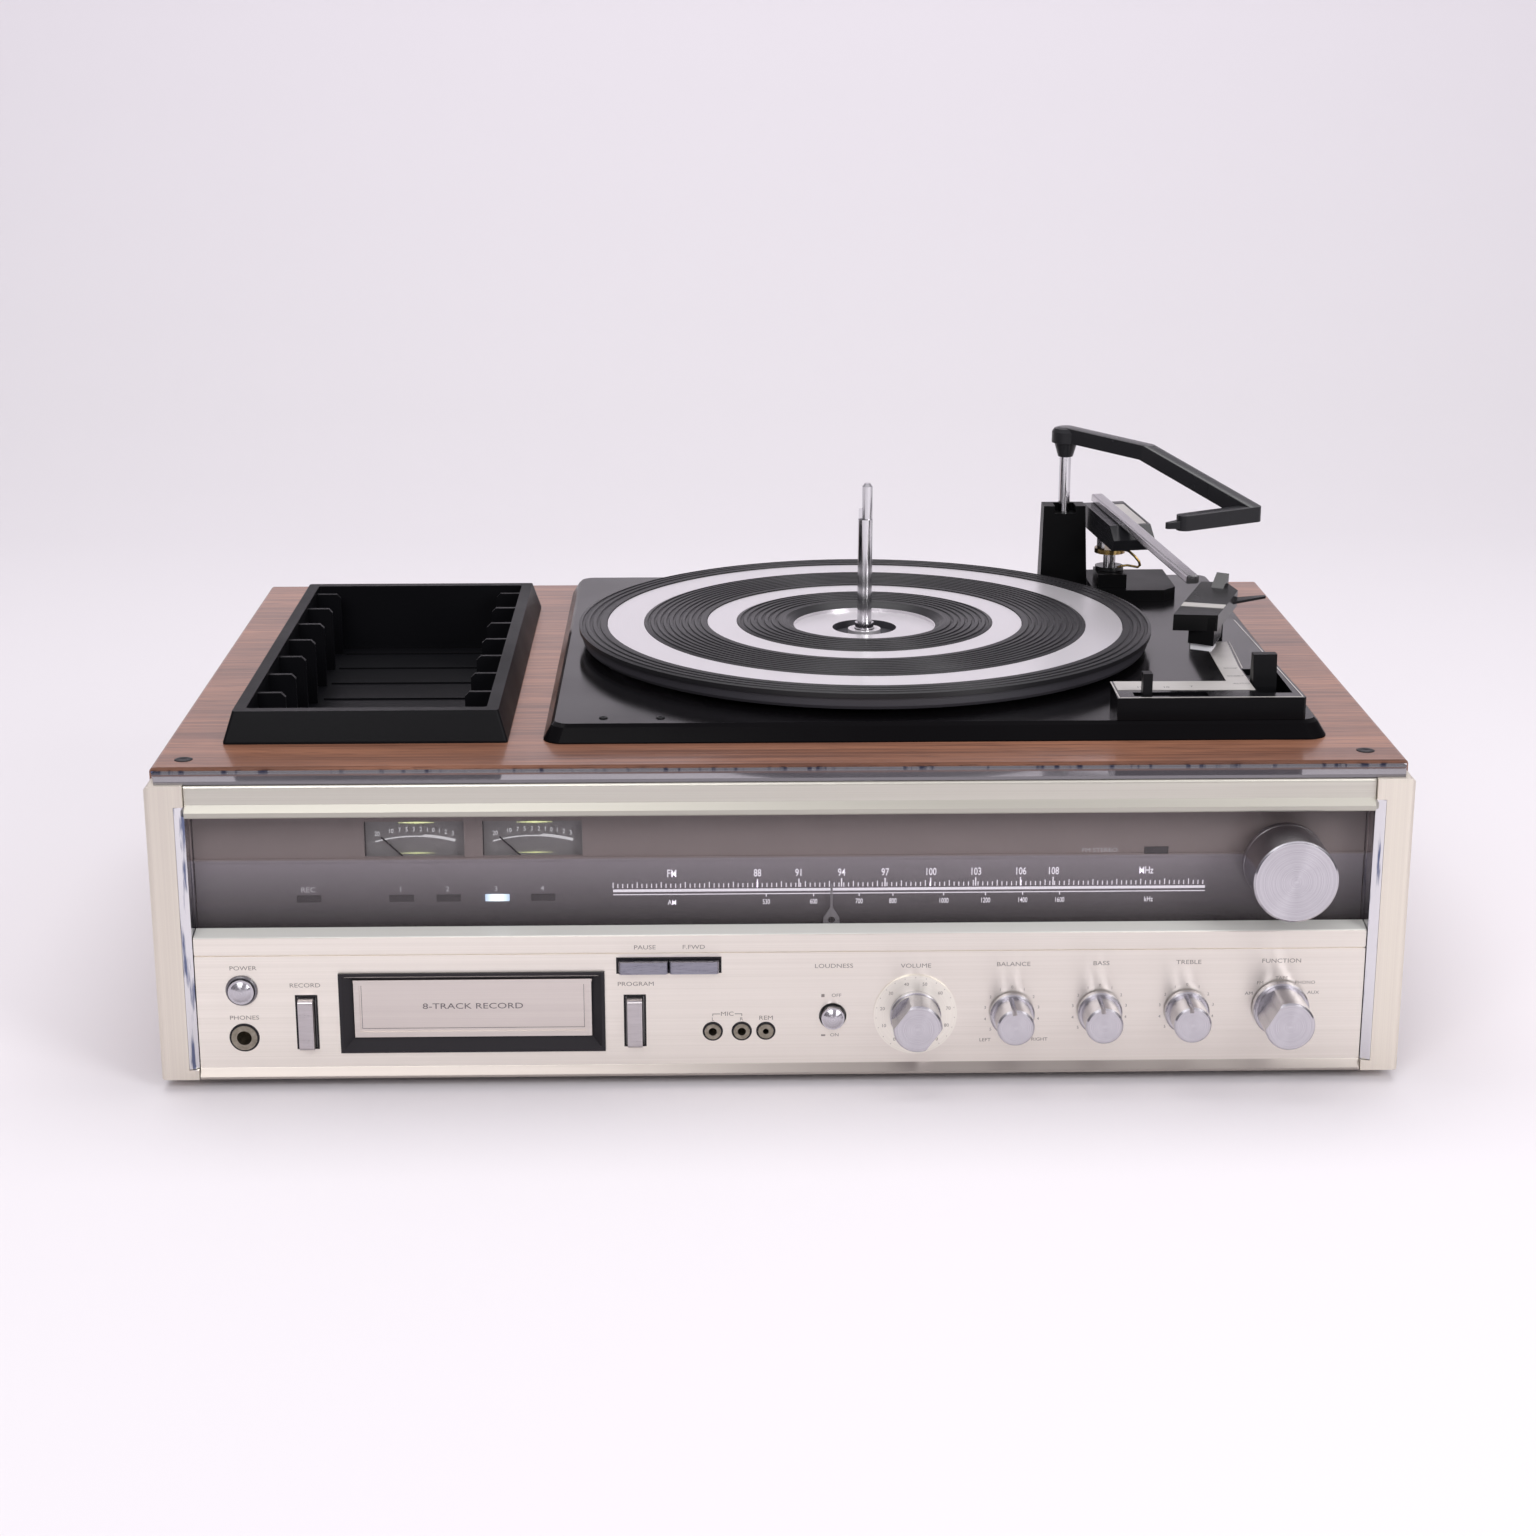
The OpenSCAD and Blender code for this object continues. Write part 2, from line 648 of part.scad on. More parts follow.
// Key in a slot of the panel, with its round front edge and its stem
module slot_key(low, high, out, upright) {
    r = 1.6;
    if (upright) along_x(low[0], high[0])
        round_rect([panel_y - out, low[1]], [guide_y - key_travel - fit, high[1]], r);
    else linear_extrude(high[1] - low[1])
        round_rect([low[0], panel_y - out], [high[0], guide_y - key_travel - fit], r);
}

key_gap = 0.9;

// Front view of a key: its slot less a gap at the sides and one above and below
function inset(s, side, end) = [[s[0][0] + side, s[0][1] + end], [s[1][0] - side, s[1][1] - end]];
record_box = inset(key_slots[0], key_gap, slip);
program_box = inset(key_slots[1], key_gap, slip);
tape_box = inset(key_slots[2], slip, slip);
tape_mid = (tape_box[0][0] + tape_box[1][0]) / 2;

module record_key() color("silver") at_base() slot_key(record_box[0], record_box[1], 5, true);

module program_key() color("silver") at_base() slot_key(program_box[0], program_box[1], 5, true);

module pause_key() color("slategray") at_base() translate([0, 0, tape_box[0][1]])
    slot_key(tape_box[0] - [0, tape_box[0][1]], [tape_mid - 0.25, tape_box[1][1] - tape_box[0][1]], 4, false);

module forward_key() color("slategray") at_base() translate([0, 0, tape_box[0][1]])
    slot_key([tape_mid + 0.25, 0], [tape_box[1][0], tape_box[1][1] - tape_box[0][1]], 4, false);

// Disc with the volume scale, let onto the panel
module volume_scale() color("whitesmoke") at_base() difference() {
    bar_y(volume_x, knob_places[0][1], panel_y - 0.8, panel_y, scale_r);
    bar_y(volume_x, knob_places[0][1], panel_y - 2, panel_y + 1, shaft_r + 0.4);
}

pot_d = 12;
pot_r = 8;

// Turned knob body: base flange, waist and a bevelled face
module knob_body(r, base_r, base_t, len, rear) rotate([90, 0, 0]) rotate_extrude() polygon([
    [0, rear], [base_r, rear], [base_r, rear + base_t - 0.6], [base_r - 0.6, rear + base_t],
    [r, rear + base_t], [r, len - 0.8], [r - 0.8, len], [0, len],
]);

// Knob on the lower panel, its groove or flats cut by its children
module panel_knob(p, r, base_r, base_t, len) translate([p[0], panel_y, p[1]]) difference() {
    union() {
        knob_body(r, base_r, base_t, len, 1);
        bar_y(0, 0, -1.5, panel_t + 8, shaft_r);
    }
    children();
}

// Volume knob with two flats along its grip
module volume_knob() color("silver") at_base()
    panel_knob(knob_places[0], volume_r, volume_r + 0.5, 3, knob_len) rotate([0, 36, 0])
        for (side = [-1, 1]) block([side * 12.5 - 4, -knob_len - 1, -15], [side * 12.5 + 4, -6, 15]);

// Knob with a pointer groove along its top
module tone_knob(p) panel_knob(p, tone_r, tone_r + 1.6, 3, knob_len) rotate([0, -6, 0])
    block([-1, -knob_len - 1, tone_r - 2.2], [1, -4, tone_r + 1]);

module balance_knob() color("silver") at_base() tone_knob(knob_places[1]);

module bass_knob() color("silver") at_base() tone_knob(knob_places[2]);

module treble_knob() color("silver") at_base() tone_knob(knob_places[3]);

// Function knob with one flat
module function_knob() color("silver") at_base()
    panel_knob(knob_places[4], function_r, function_r + 1.5, 4, function_len) rotate([0, 30, 0])
        block([-function_r - 4, -function_len - 1, -12], [-function_r + 2.2, -6.5, 12]);

wheel_r = 20;
bush_d = 6;
wheel_y = plate_y + dial_t + bush_d;

// Tuning knob with its shaft and the flywheel behind the dial
module tuning_knob() color("silver") at_base() translate([tuning_x, window_y, tuning_z]) {
    knob_body(tuning_r, tuning_r, 4, tuning_len, 1);
    bar_y(0, 0, -2, wheel_y - window_y + 4, shaft_r);
    bar_y(0, 0, wheel_y - window_y + fit, wheel_y - window_y + 8, wheel_r);
}

// Switch on the back of the panel, with the well of its round button and its stem's guide
module button_switch(p, r, well_r) difference() {
    block([p[0] - 8, panel_in, p[1] - 8], [p[0] + 8, guide_y + 8, p[1] + 8]);
    bar_y(p[0], p[1], panel_in - 1, panel_in + key_travel + 1, well_r);
    bar_y(p[0], p[1], panel_in, guide_y, r / 2 + run);
}

switch_wall = 1.2;

// Switch on the back of the panel, with the pocket that guides its key
module key_switch(s, key) difference() {
    block([s[0][0] - switch_wall, panel_in, s[0][1] - switch_wall],
          [s[1][0] + switch_wall, guide_y + 8, s[1][1] + switch_wall]);
    block([key[0][0] - fit, panel_in - 1, key[0][1] - fit],
          [key[1][0] + fit, guide_y, key[1][1] + fit]);
}

// Control bodies and switches behind the panel and the bush of the tuning shaft
module control_bodies() color("darkgray") at_base() {
    button_switch(power_place, button_r, power_hole_r);
    button_switch(loudness_place, loudness_r, loudness_hole_r);
    key_switch(key_slots[0], record_box);
    key_switch(key_slots[1], program_box);
    key_switch(key_slots[2], tape_box);
    for (p = knob_places) difference() {
        bar_y(p[0], p[1], panel_in, panel_in + pot_d, pot_r);
        bar_y(p[0], p[1], panel_in - 1, panel_in + 9, shaft_r + run);
    }
    difference() {
        bar_y(tuning_x, tuning_z, plate_y + dial_t, wheel_y, 7);
        bar_y(tuning_x, tuning_z, plate_y, wheel_y + 1, shaft_r + run);
    }
}

// ---- Cartridge recorder ----

door_high = door_low + door_h;
bezel_y = panel_y - 1.2;
door_y = panel_in + 1.5;
guide_front = panel_y + 6;
hinge_y = door_y + 1.2;
hinge_z = door_high - 1;
hinge_r = 0.9;
gap_w = door_w / 2 + fit;

// Black bezel round the door, its inner edges bevelled inwards
module cartridge_bezel() color("black") at_base() difference() {
    union() {
        block([door_x - bezel_w / 2, bezel_y, bezel_low], [door_x + bezel_w / 2, panel_y, bezel_high]);
        block([door_x - bezel_w / 2 + 2 + fit, panel_y, bezel_low + 2 + fit],
              [door_x + bezel_w / 2 - 2 - fit, guide_front, bezel_high - 2 - fit]);
    }
    block([door_x - gap_w, bezel_y - 1, door_low - fit], [door_x + gap_w, guide_front + 1, door_high + fit]);
    hull() {
        block([door_x - gap_w - 4.2, bezel_y - 0.1, door_low - 4.4],
              [door_x + gap_w + 4.2, bezel_y, door_high + 3.2]);
        block([door_x - gap_w, door_y, door_low - fit], [door_x + gap_w, door_y + 0.1, door_high + fit]);
    }
    bar_x(hinge_y, hinge_z, door_x - gap_w - 2.6, door_x + gap_w + 2.6, hinge_r + run);
}

// Door with its raised rim and its two hinge pins
module cartridge_door() color("gainsboro") at_base() {
    difference() {
        block([door_x - door_w / 2, door_y - 0.6, door_low], [door_x + door_w / 2, door_y + door_t, door_high]);
        block([door_x - door_w / 2 + 2.4, door_y - 1, door_low + 2.4],
              [door_x + door_w / 2 - 2.4, door_y, door_high - 2.4]);
    }
    bar_x(hinge_y, hinge_z, door_x - gap_w - 2.4, door_x + gap_w + 2.4, hinge_r);
}

guide_in = door_w / 2 + 0.8;
floor_z = door_low - fit - guide_t;
roof_z = door_high + 1;
capstan_x = door_x - 32;
capstan_y = guide_front + guide_d - 14;
wheel_low = pan_t + 2;

// Sheet metal guide that takes the cartridge, with the capstan's bearing in its floor
module cartridge_guide() color("silver") at_base() difference() {
    union() {
        difference() {
            block([door_x - guide_in - guide_t, guide_front, floor_z],
                  [door_x + guide_in + guide_t, guide_front + guide_d, roof_z + guide_t]);
            block([door_x - guide_in, guide_front - 1, floor_z + guide_t],
                  [door_x + guide_in, guide_front + guide_d - guide_t, roof_z]);
        }
        for (side = [-1, 1]) block(
            [door_x + side * (guide_in + guide_t / 2) - guide_t / 2, guide_front + 20, pan_t],
            [door_x + side * (guide_in + guide_t / 2) + guide_t / 2, capstan_y - flywheel_r - 3, floor_z + 1]);
    }
    bar_z(capstan_x, capstan_y, floor_z - 1, floor_z + guide_t + 1, capstan_r + run);
}

// Capstan shaft with its flywheel under the guide
module capstan() color("lightgray") at_base() {
    bar_z(capstan_x, capstan_y, pan_t + fit, floor_z + 24, capstan_r);
    bar_z(capstan_x, capstan_y, wheel_low, wheel_low + 8, flywheel_r);
}

head_x = door_x + 8;
head_y = capstan_y - 1;
head_step = 2.4;

// Tape head on its carriage, which steps down through the four programmes
module tape_head() color("silver") at_base() {
    block([head_x - 6, head_y - 4, floor_z + guide_t + head_step + fit],
          [head_x + 6, head_y + 6, floor_z + guide_t + 18]);
    block([head_x - 9, head_y + 6, floor_z + guide_t + head_step + fit],
          [head_x + 9, guide_front + guide_d - guide_t - fit, floor_z + guide_t + 14]);
}

motor_x = door_x + 34;
motor_y = guide_front + guide_d + 26;

// Motor that drives the flywheel, with its pulley level with the rim
module tape_motor() color("gray") at_base() {
    bar_z(motor_x, motor_y, pan_t, pan_t + 44, 18);
    bar_z(motor_x, motor_y, pan_t + 44, pan_t + 47, 6);
}

// ---- Electronics ----

board_x = [-60, 235];
board_y = [70, 250];
board_z = 12;

// Main circuit board on four standoffs, with its heat sink, capacitors and tuning gang
module circuit_board() color("peru") at_base() {
    block([board_x[0], board_y[0], board_z], [board_x[1], board_y[1], board_z + 1.6]);
    for (x = [board_x[0] + 8, board_x[1] - 8], y = [board_y[0] + 8, board_y[1] - 8])
        bar_z(x, y, pan_t, board_z, 3.5);
    for (i = [0:3]) bar_z(board_x[0] + 40 + 26 * i, board_y[1] - 26, board_z + 1.6, board_z + 32, 9);
    for (i = [0:7]) block([board_x[1] - 90 + 9 * i, board_y[1] - 60, board_z + 1.6],
        [board_x[1] - 88 + 9 * i, board_y[1] - 20, board_z + 42]);
    block([board_x[1] - 92, board_y[1] - 62, board_z + 1.6], [board_x[1] - 23, board_y[1] - 59, board_z + 42]);
    block([150, 100, board_z + 1.6], [190, 140, board_z + 34]);
    for (i = [0:4]) block([-20 + 30 * i, 100, board_z + 1.6], [-8 + 30 * i, 112, board_z + 14]);
}

core = [-220, 232, pan_t];
core_size = [66, 30, 56];

// Mains transformer: laminated core with feet and its winding
module power_transformer() color("dimgray") at_base() {
    block(core, core + core_size);
    block(core + [-10, 5, 0], core + [core_size[0] + 10, core_size[1] - 5, 2]);
    difference() {
        block(core + [12, -12, 12], core + core_size + [-12, 12, -12]);
        block(core + [-1, 0, 0], core + core_size + [1, 0, 1]);
    }
}

// ---- Cartridge tray ----

rim_z = cab_h + tray_rim;
tray_floor = rim_z - tray_depth;
fin_drop = 2;
fins = min(fin_count, floor((tray_l - fin_first) / fin_pitch) + 1);
rib_first = 18;
rib_pitch = 30;
ribs_last = floor((tray_l - rib_first - 2) / rib_pitch);

// Plan of the tray grown by a margin
module tray_plan(margin) round_rect([tray_x - tray_w / 2 - margin, tray_y - margin],
    [tray_x + tray_w / 2 + margin, tray_y + tray_l + margin], 1.5);

// Moulded tray: sloping rim over the wood, tub below it and fins along both sides
module cartridge_tray() color("black") at_base() {
    difference() {
        union() {
            hull() {
                translate([0, 0, cab_h]) linear_extrude(1) tray_plan(9.4, $fn = 24);
                translate([0, 0, rim_z - 2]) linear_extrude(2) tray_plan(5.4, $fn = 24);
            }
            translate([0, 0, tray_floor - tray_t]) linear_extrude(tray_depth) tray_plan(tray_t);
        }
        translate([0, 0, tray_floor]) linear_extrude(tray_depth + 1) tray_plan(0);
    }
    for (k = [0:fins - 1], side = [0, 1])
        translate([tray_x, 0, 0]) mirror([side, 0, 0]) along_y(
            tray_y + fin_first + fin_pitch * k - fin_t / 2, tray_y + fin_first + fin_pitch * k + fin_t / 2)
            polygon([
                [tray_w / 2 + 1, tray_floor - 1], [tray_w / 2 - fin_l, tray_floor - 1],
                [tray_w / 2 - fin_l, rim_z - fin_drop - 2], [tray_w / 2 - fin_l + 2, rim_z - fin_drop],
                [tray_w / 2 + 1, rim_z - fin_drop],
            ]);
    for (k = [0:ribs_last]) translate([tray_x, tray_y + rib_first + rib_pitch * k, tray_floor])
        block([-tray_w / 2 + fin_l + 2, 0, -1], [tray_w / 2 - fin_l - 2, 1.6, 0.8]);
}

// ---- Turntable ----

plate_in = 5;
corner_r = 9;
rim_low = deck_z + platter_gap;
rim_top = rim_low + platter_h;
mat_top = rim_top + mat_t;
dish_top = rim_top - 1.4;
dish_r = 34.4;
well_r = 15.6;
well_d = 3.5;
boss_r = 8;
bearing_top = dish_top - 0.6;
spindle_foot_r = spindle_r - 0.4;
collar_r = 4.6;
collar_top = rim_top + 1.2;
bearing_r = 5;
rim_in = mat_r - 5;
idler_a = -120;
idler_d = rim_in - idler_r - fit;
idler_x = platter_x + idler_d * cos(idler_a);
idler_y = platter_y + idler_d * sin(idler_a);
pulley_a = -140;
pulley_x = idler_x + (idler_r + pulley_r + fit) * cos(pulley_a + 180);
pulley_y = idler_y + (idler_r + pulley_r + fit) * sin(pulley_a + 180);
idler_low = deck_z + 1.2;
idler_t = 3.2;
post_x = 156;
post_y = 312;

// Plan of the deck shrunk by a margin
module deck_plan(margin) round_rect([deck_x0 + margin, deck_y + margin],
    [deck_x1 - margin, deck_y1 - margin], corner_r - margin / 2);

// Pressed steel deck with its sloping skirt, raised pad and the platter's bearing
module deck() color("black") at_base() {
    difference() {
        union() {
            hull() {
                translate([0, 0, cab_h]) linear_extrude(0.6) deck_plan(0, $fn = 32);
                translate([0, 0, deck_z - 2.5]) linear_extrude(1) deck_plan(plate_in - 1.5, $fn = 32);
                translate([0, 0, deck_z - 1]) linear_extrude(1) deck_plan(plate_in, $fn = 32);
            }
            bar_z(platter_x, platter_y, deck_z, bearing_top, bearing_r);
            bar_z(platter_x, platter_y, deck_z, deck_z + 1, bearing_r + 5);
            bar_z(idler_x, idler_y, deck_z, idler_low, 4);
            bar_z(idler_x, idler_y, deck_z, idler_low + idler_t, 2);
        }
        translate([0, 0, cab_h - 1]) linear_extrude(deck_h + 1 - deck_t) deck_plan(plate_in + 2);
        bar_z(platter_x, platter_y, cab_h - 1, rim_top + 1, spindle_foot_r + run);
        bar_z(pulley_x, pulley_y, cab_h, deck_z + 1, pulley_r + 1.2);
        bar_z(post_x, post_y, cab_h, deck_z + 1, post_r + 1);
        bar_z(pivot_x, pivot_y, cab_h, deck_z + 1, 3);
    }
}

// Motor under the deck, hung from its three studs
module platter_motor() color("silver") at_base() difference() {
    union() {
        bar_z(pulley_x, pulley_y, deck_z - 52, deck_z - 14, 26);
        for (a = [0:120:240]) translate([pulley_x + 20 * cos(a), pulley_y + 20 * sin(a), deck_z - 14])
            cylinder(h = 14 - deck_t, r = 3);
    }
    bar_z(pulley_x, pulley_y, deck_z - 24, deck_z, 2 + run);
}

// Motor shaft with its stepped pulley
module motor_pulley() color("goldenrod") at_base() {
    bar_z(pulley_x, pulley_y, deck_z - 23.7, deck_z + 0.4, 2);
    bar_z(pulley_x, pulley_y, deck_z - 12, idler_low + idler_t - 1.4, pulley_r - 0.8);
    bar_z(pulley_x, pulley_y, idler_low + 0.2, idler_low + idler_t - 0.2, pulley_r);
}

// Rubber-rimmed idler between the pulley and the platter's rim
module idler_wheel() color("darkslategray") at_base() difference() {
    bar_z(idler_x, idler_y, idler_low + fit, idler_low + idler_t, idler_r);
    bar_z(idler_x, idler_y, idler_low - 1, idler_low + idler_t + 1, 2 + run);
}

ring_edges = [[62.4, 77.2], [107.7, 126]];
mat_in = 39;

// Platter: rim, web, hub with its well, and the two bright rings between the mat's bands
module platter() color("gainsboro") at_base() translate([platter_x, platter_y, 0])
    rotate_extrude($fn = 180) polygon([
        [bearing_r + run, bearing_top], [bearing_r + run, deck_z + 1.3],
        [well_r + 1.6, deck_z + 1.3], [well_r + 1.6, dish_top - 2], [dish_r + 1.6, dish_top - 2],
        [dish_r + 1.6, rim_top - 2], [rim_in, rim_top - 2], [rim_in, rim_low], [mat_r - 2.5, rim_low],
        [mat_r - 1.6, rim_low + 1.5], [mat_r - 1.6, rim_top],
        [ring_edges[1][1] - fit, rim_top], [ring_edges[1][1] - fit, mat_top - 0.5],
        [ring_edges[1][0] + fit, mat_top - 0.5], [ring_edges[1][0] + fit, rim_top],
        [ring_edges[0][1] - fit, rim_top], [ring_edges[0][1] - fit, mat_top - 0.5],
        [ring_edges[0][0] + fit, mat_top - 0.5], [ring_edges[0][0] + fit, rim_top],
        [dish_r, rim_top], [dish_r, dish_top], [well_r, dish_top], [well_r, dish_top - well_d],
        [boss_r, dish_top - well_d], [boss_r, bearing_top],
    ]);

// Band of the rubber mat between two radii, with ribs round it and a slope at its inside
module mat_band(from, to, slope = 0) {
    ribs = floor((to - from - 3) / 3);
    pitch = (to - from - 3) / ribs;
    rotate_extrude($fn = 180) polygon(concat(
        [[from - slope, rim_top], [from, mat_top]],
        [for (i = [0:ribs - 1], c = [[1.5, 0], [1.5 + pitch * 0.5, 0], [1.5 + pitch * 0.6, -0.6],
            [1.5 + pitch * 0.9, -0.6]]) [from + pitch * i + c[0], mat_top + c[1]]],
        [[to - 1.5, mat_top], [to, mat_top - 0.4], [to, rim_top]]));
}

module record_mat() color("black") at_base() translate([platter_x, platter_y, 0]) {
    mat_band(mat_in, ring_edges[0][0], mat_in - dish_r - fit);
    mat_band(ring_edges[0][1], ring_edges[1][0]);
    mat_band(ring_edges[1][1], mat_r);
}

tip_r = 2.5;
tip_h = 17;

// Changer's spindle: foot in the deck, collar, pin for the records, a tip set to one side
// and beside it the latch that pushes one record off the pin's shoulder
module spindle() color("silver") at_base() translate([platter_x, platter_y, 0]) {
    bar_z(0, 0, deck_z - 30, rim_top, spindle_foot_r);
    bar_z(0, 0, bearing_top + fit, collar_top, collar_r);
    bar_z(0, 0, collar_top, mat_top + spindle_h, spindle_r);
    translate([0.9, 0, mat_top + spindle_h - 1]) {
        cylinder(h = tip_h, r = tip_r);
        translate([0, 0, tip_h]) cylinder(h = 1.6, r1 = tip_r, r2 = tip_r - 1.2);
    }
    block([-spindle_r + 0.3, -0.7, mat_top + spindle_h - 1], [0, 0.7, mat_top + spindle_h + 5]);
}

// ---- Changer's controls ----

cover_h = 10;
cover_z = deck_z + cover_h;
cover_x = [149, 232.6];
cover_y = [53.6, 83];
arm_in = 203;
cover_back = 202;
size_slot = [[157, 57.5], [190, 64]];
play_slot = [[213, 62], [228, 104]];
rest_place = [213.5, 170];
head_low = 1.2;
rest_along = (rest_place[0] - pivot_x) * sin(arm_park) + (pivot_y - rest_place[1]) * cos(arm_park);
rest_top = deck_z + pivot_h - rest_along * tan(arm_slope) + head_low / cos(arm_slope) - fit - 0.2;

// L-shaped cover with the slots of its two levers
module control_cover() color("black") at_base() difference() {
    union() {
        bar_z(rest_place[0], rest_place[1], deck_z, rest_top, 2.5);
        translate([0, 0, deck_z]) linear_extrude(cover_h) polygon([
            [cover_x[0], cover_y[0]], [cover_x[1] - 1, cover_y[0]], [cover_x[1], cover_y[0] + 1],
            [cover_x[1] - 4.6, cover_back - 2], [cover_x[1] - 6.6, cover_back], [arm_in + 3, cover_back],
            [arm_in, cover_y[1]], [cover_x[0] + 1, cover_y[1]],
        ]);
    }
    for (s = [size_slot, play_slot]) block([s[0][0], s[0][1], deck_z - 1], [s[1][0], s[1][1], cover_z + 1]);
}

// Record size lever at the left of its slot
module size_lever() color("dimgray") at_base() translate([size_slot[0][0], 0, 0]) {
    block([3.7, size_slot[0][1] + slip, deck_z + fit], [7.9, size_slot[1][1] - slip, cover_z + 10]);
    block([slip, size_slot[0][1] + slip, deck_z + fit], [12.5, size_slot[1][1] - slip, cover_z - 2.5]);
}

// Start and stop lever, with the shutter that fills its slot
module play_lever() color("dimgray") at_base() along_x(play_slot[0][0] + slip, play_slot[1][0] - 4) polygon([
    [78, deck_z + fit], [98, deck_z + fit], [98, cover_z - 1.5], [86, cover_z - 1.5],
    [84.6, cover_z + 13], [79.6, cover_z + 13], [78, cover_z - 1.5],
]);

// ---- Record holder ----

tower_top = deck_z + 46;
tower_x = 12.4;
tower_y = 7;
head_z = tower_top + 33.5;
notch_w = 11;

// Tower that the holder's post slides in, notched at the front of its top
module holder_tower() color("black") at_base() difference() {
    hull() {
        translate([post_x - tower_x, post_y - tower_y, deck_z]) cube([2 * tower_x, 2 * tower_y, 1]);
        translate([post_x - tower_x + 1.2, post_y - tower_y + 1, tower_top - 1])
            cube([2 * tower_x - 3, 2 * tower_y - 2, 1]);
    }
    bar_z(post_x, post_y, deck_z - 1, tower_top + 1, post_r + run);
    block([post_x - notch_w / 2, post_y - tower_y - 1, tower_top - 4],
          [post_x + notch_w / 2, post_y + 4, tower_top + 1]);
}

// One straight length of the holder's flat arm
module holder_length(from, to) hull() {
    for (p = [from, to]) translate(p) cylinder(h = 7.5, r = 4, $fn = 24);
}

holder_points = [
    [post_x, post_y, head_z], [post_x + 37, post_y - 34, head_z - 3.8],
    [post_x + 82, post_y - 90, head_z - 24.6], [post_x + 47, post_y - 98, head_z - 27.3],
];

holder_pin_r = 2.2;
hub_low = -8;

// Steel post that slides in the tower, stepped down to the pin that the holder turns on
module holder_post() color("silver") at_base() {
    bar_z(post_x, post_y, tower_top - 36, head_z + hub_low - fit, post_r);
    bar_z(post_x, post_y, head_z + hub_low - 1, head_z + 4.7, holder_pin_r);
}

// Bent arm on a turned hub, whose narrow tip steadies the stack of records
module record_holder() color("dimgray") at_base() difference() {
    union() {
        for (i = [0:2]) holder_length(holder_points[i], holder_points[i + 1]);
        translate([post_x, post_y, head_z]) rotate_extrude() polygon([
            [0, hub_low], [3.9, hub_low], [5.9, -1.2], [7.4, -0.6],
            [7.4, 5], [6.2, 6.8], [4, 7.5], [0, 7.5],
        ]);
        hull() {
            translate(holder_points[3] + [0, 0, 1]) cylinder(h = 4, r = 3, $fn = 24);
            translate(holder_points[3] + [-8, -1.6, 1]) cylinder(h = 3, r = 1.6, $fn = 24);
        }
    }
    bar_z(post_x, post_y, head_z + hub_low - 1, head_z + 5, holder_pin_r + run);
}

// ---- Tonearm ----

hinge_h = deck_z + pivot_h;
yoke_low = deck_z + 13 + fit;
pad_left = post_x + tower_x + 1;
pad_right = pivot_x + 33.5;

// Pad on the deck, block with the arm's bearing, and the rest in front of it
module arm_base() color("black") at_base() difference() {
    union() {
        translate([0, 0, deck_z]) linear_extrude(5.8) polygon([
            [pad_left, pivot_y - 12], [pad_left + 3, pivot_y - 18], [pad_right - 7, pivot_y - 18],
            [pad_right, pivot_y - 10], [pad_right, pivot_y + 32], [pad_left, pivot_y + 32],
        ]);
        block([pivot_x - 7.5, pivot_y - 13, deck_z + 5], [pivot_x + 7.5, pivot_y + 7, deck_z + 13]);
    }
    bar_z(pivot_x, pivot_y, deck_z - 1, deck_z + 20, 2 + run);
}

// Tube swept along points, with a ring of corners at each of them
module swept_tube(points, r, sides) {
    last = len(points) - 1;
    rings = [for (i = [0:last]) let (
        d = points[min(i + 1, last)] - points[max(i - 1, 0)], t = d / norm(d),
        u = cross(t, [0, 1, 0]) / norm(cross(t, [0, 1, 0])), v = cross(t, u))
        for (k = [0:sides - 1]) points[i] + r * (cos(360 * k / sides) * u + sin(360 * k / sides) * v)];
    polyhedron(rings, concat(
        [[for (k = [0:sides - 1]) k]], [[for (k = [sides - 1:-1:0]) last * sides + k]],
        [for (i = [0:last - 1], k = [0:sides - 1], h = [0, 1]) let (
            a = i * sides + k, b = i * sides + (k + 1) % sides)
            h == 0 ? [a, a + sides, b] : [b, a + sides, b + sides]]), convexity = 4);
}

// Route of a pickup lead, out of the housing, round in a loop and back to the block
lead_route = [
    [4, -3, 24], [6.5, -3.8, 24.4], [9.4, -4.6, 23.6], [12.4, -5.2, 21], [14.6, -5.6, 18.4],
    [15.2, -5.8, 16.4], [14, -6, 15.4], [11.6, -5.6, 15.8], [8.6, -5, 16.2], [5.6, -4, 15.6], [3.2, -3, 14.4],
];
lead_r = 0.6;
cheek_x = 5;

// Yoke that turns on the base: pivot, posts, brass ring, hinge cheeks and the pickup leads
module arm_yoke() color("darkgoldenrod") at_base() translate([pivot_x, pivot_y, 0]) {
    difference() {
        union() {
            bar_z(0, 0, deck_z + 1, yoke_low + 1, 2);
            bar_z(0, 0, yoke_low, yoke_low + 2, 7.4);
            for (a = [60, 240]) bar_z(4 * cos(a), 4 * sin(a), yoke_low + 1, yoke_low + 10, 1.7);
            bar_z(0, 0, yoke_low + 9, yoke_low + 11.5, 8);
            rotate([0, 0, arm_park]) for (side = [-1, 1])
                block([side * cheek_x - 0.8, -4, yoke_low + 11], [side * cheek_x + 0.8, 4, hinge_h + 3]);
        }
        rotate([0, 0, arm_park]) bar_x(0, hinge_h, -12, 12, 1.5 + run);
    }
    for (i = [0, 1]) translate([0, -1.8 * i, deck_z + 0.4 * i]) swept_tube(lead_route, lead_r, 8);
}

// Places an arm piece: X to the right of the arm, Y back along it, Z up from its hinge
module on_arm() translate([pivot_x, pivot_y, hinge_h]) rotate([0, 0, arm_park])
    rotate([arm_slope, 0, 0]) children();

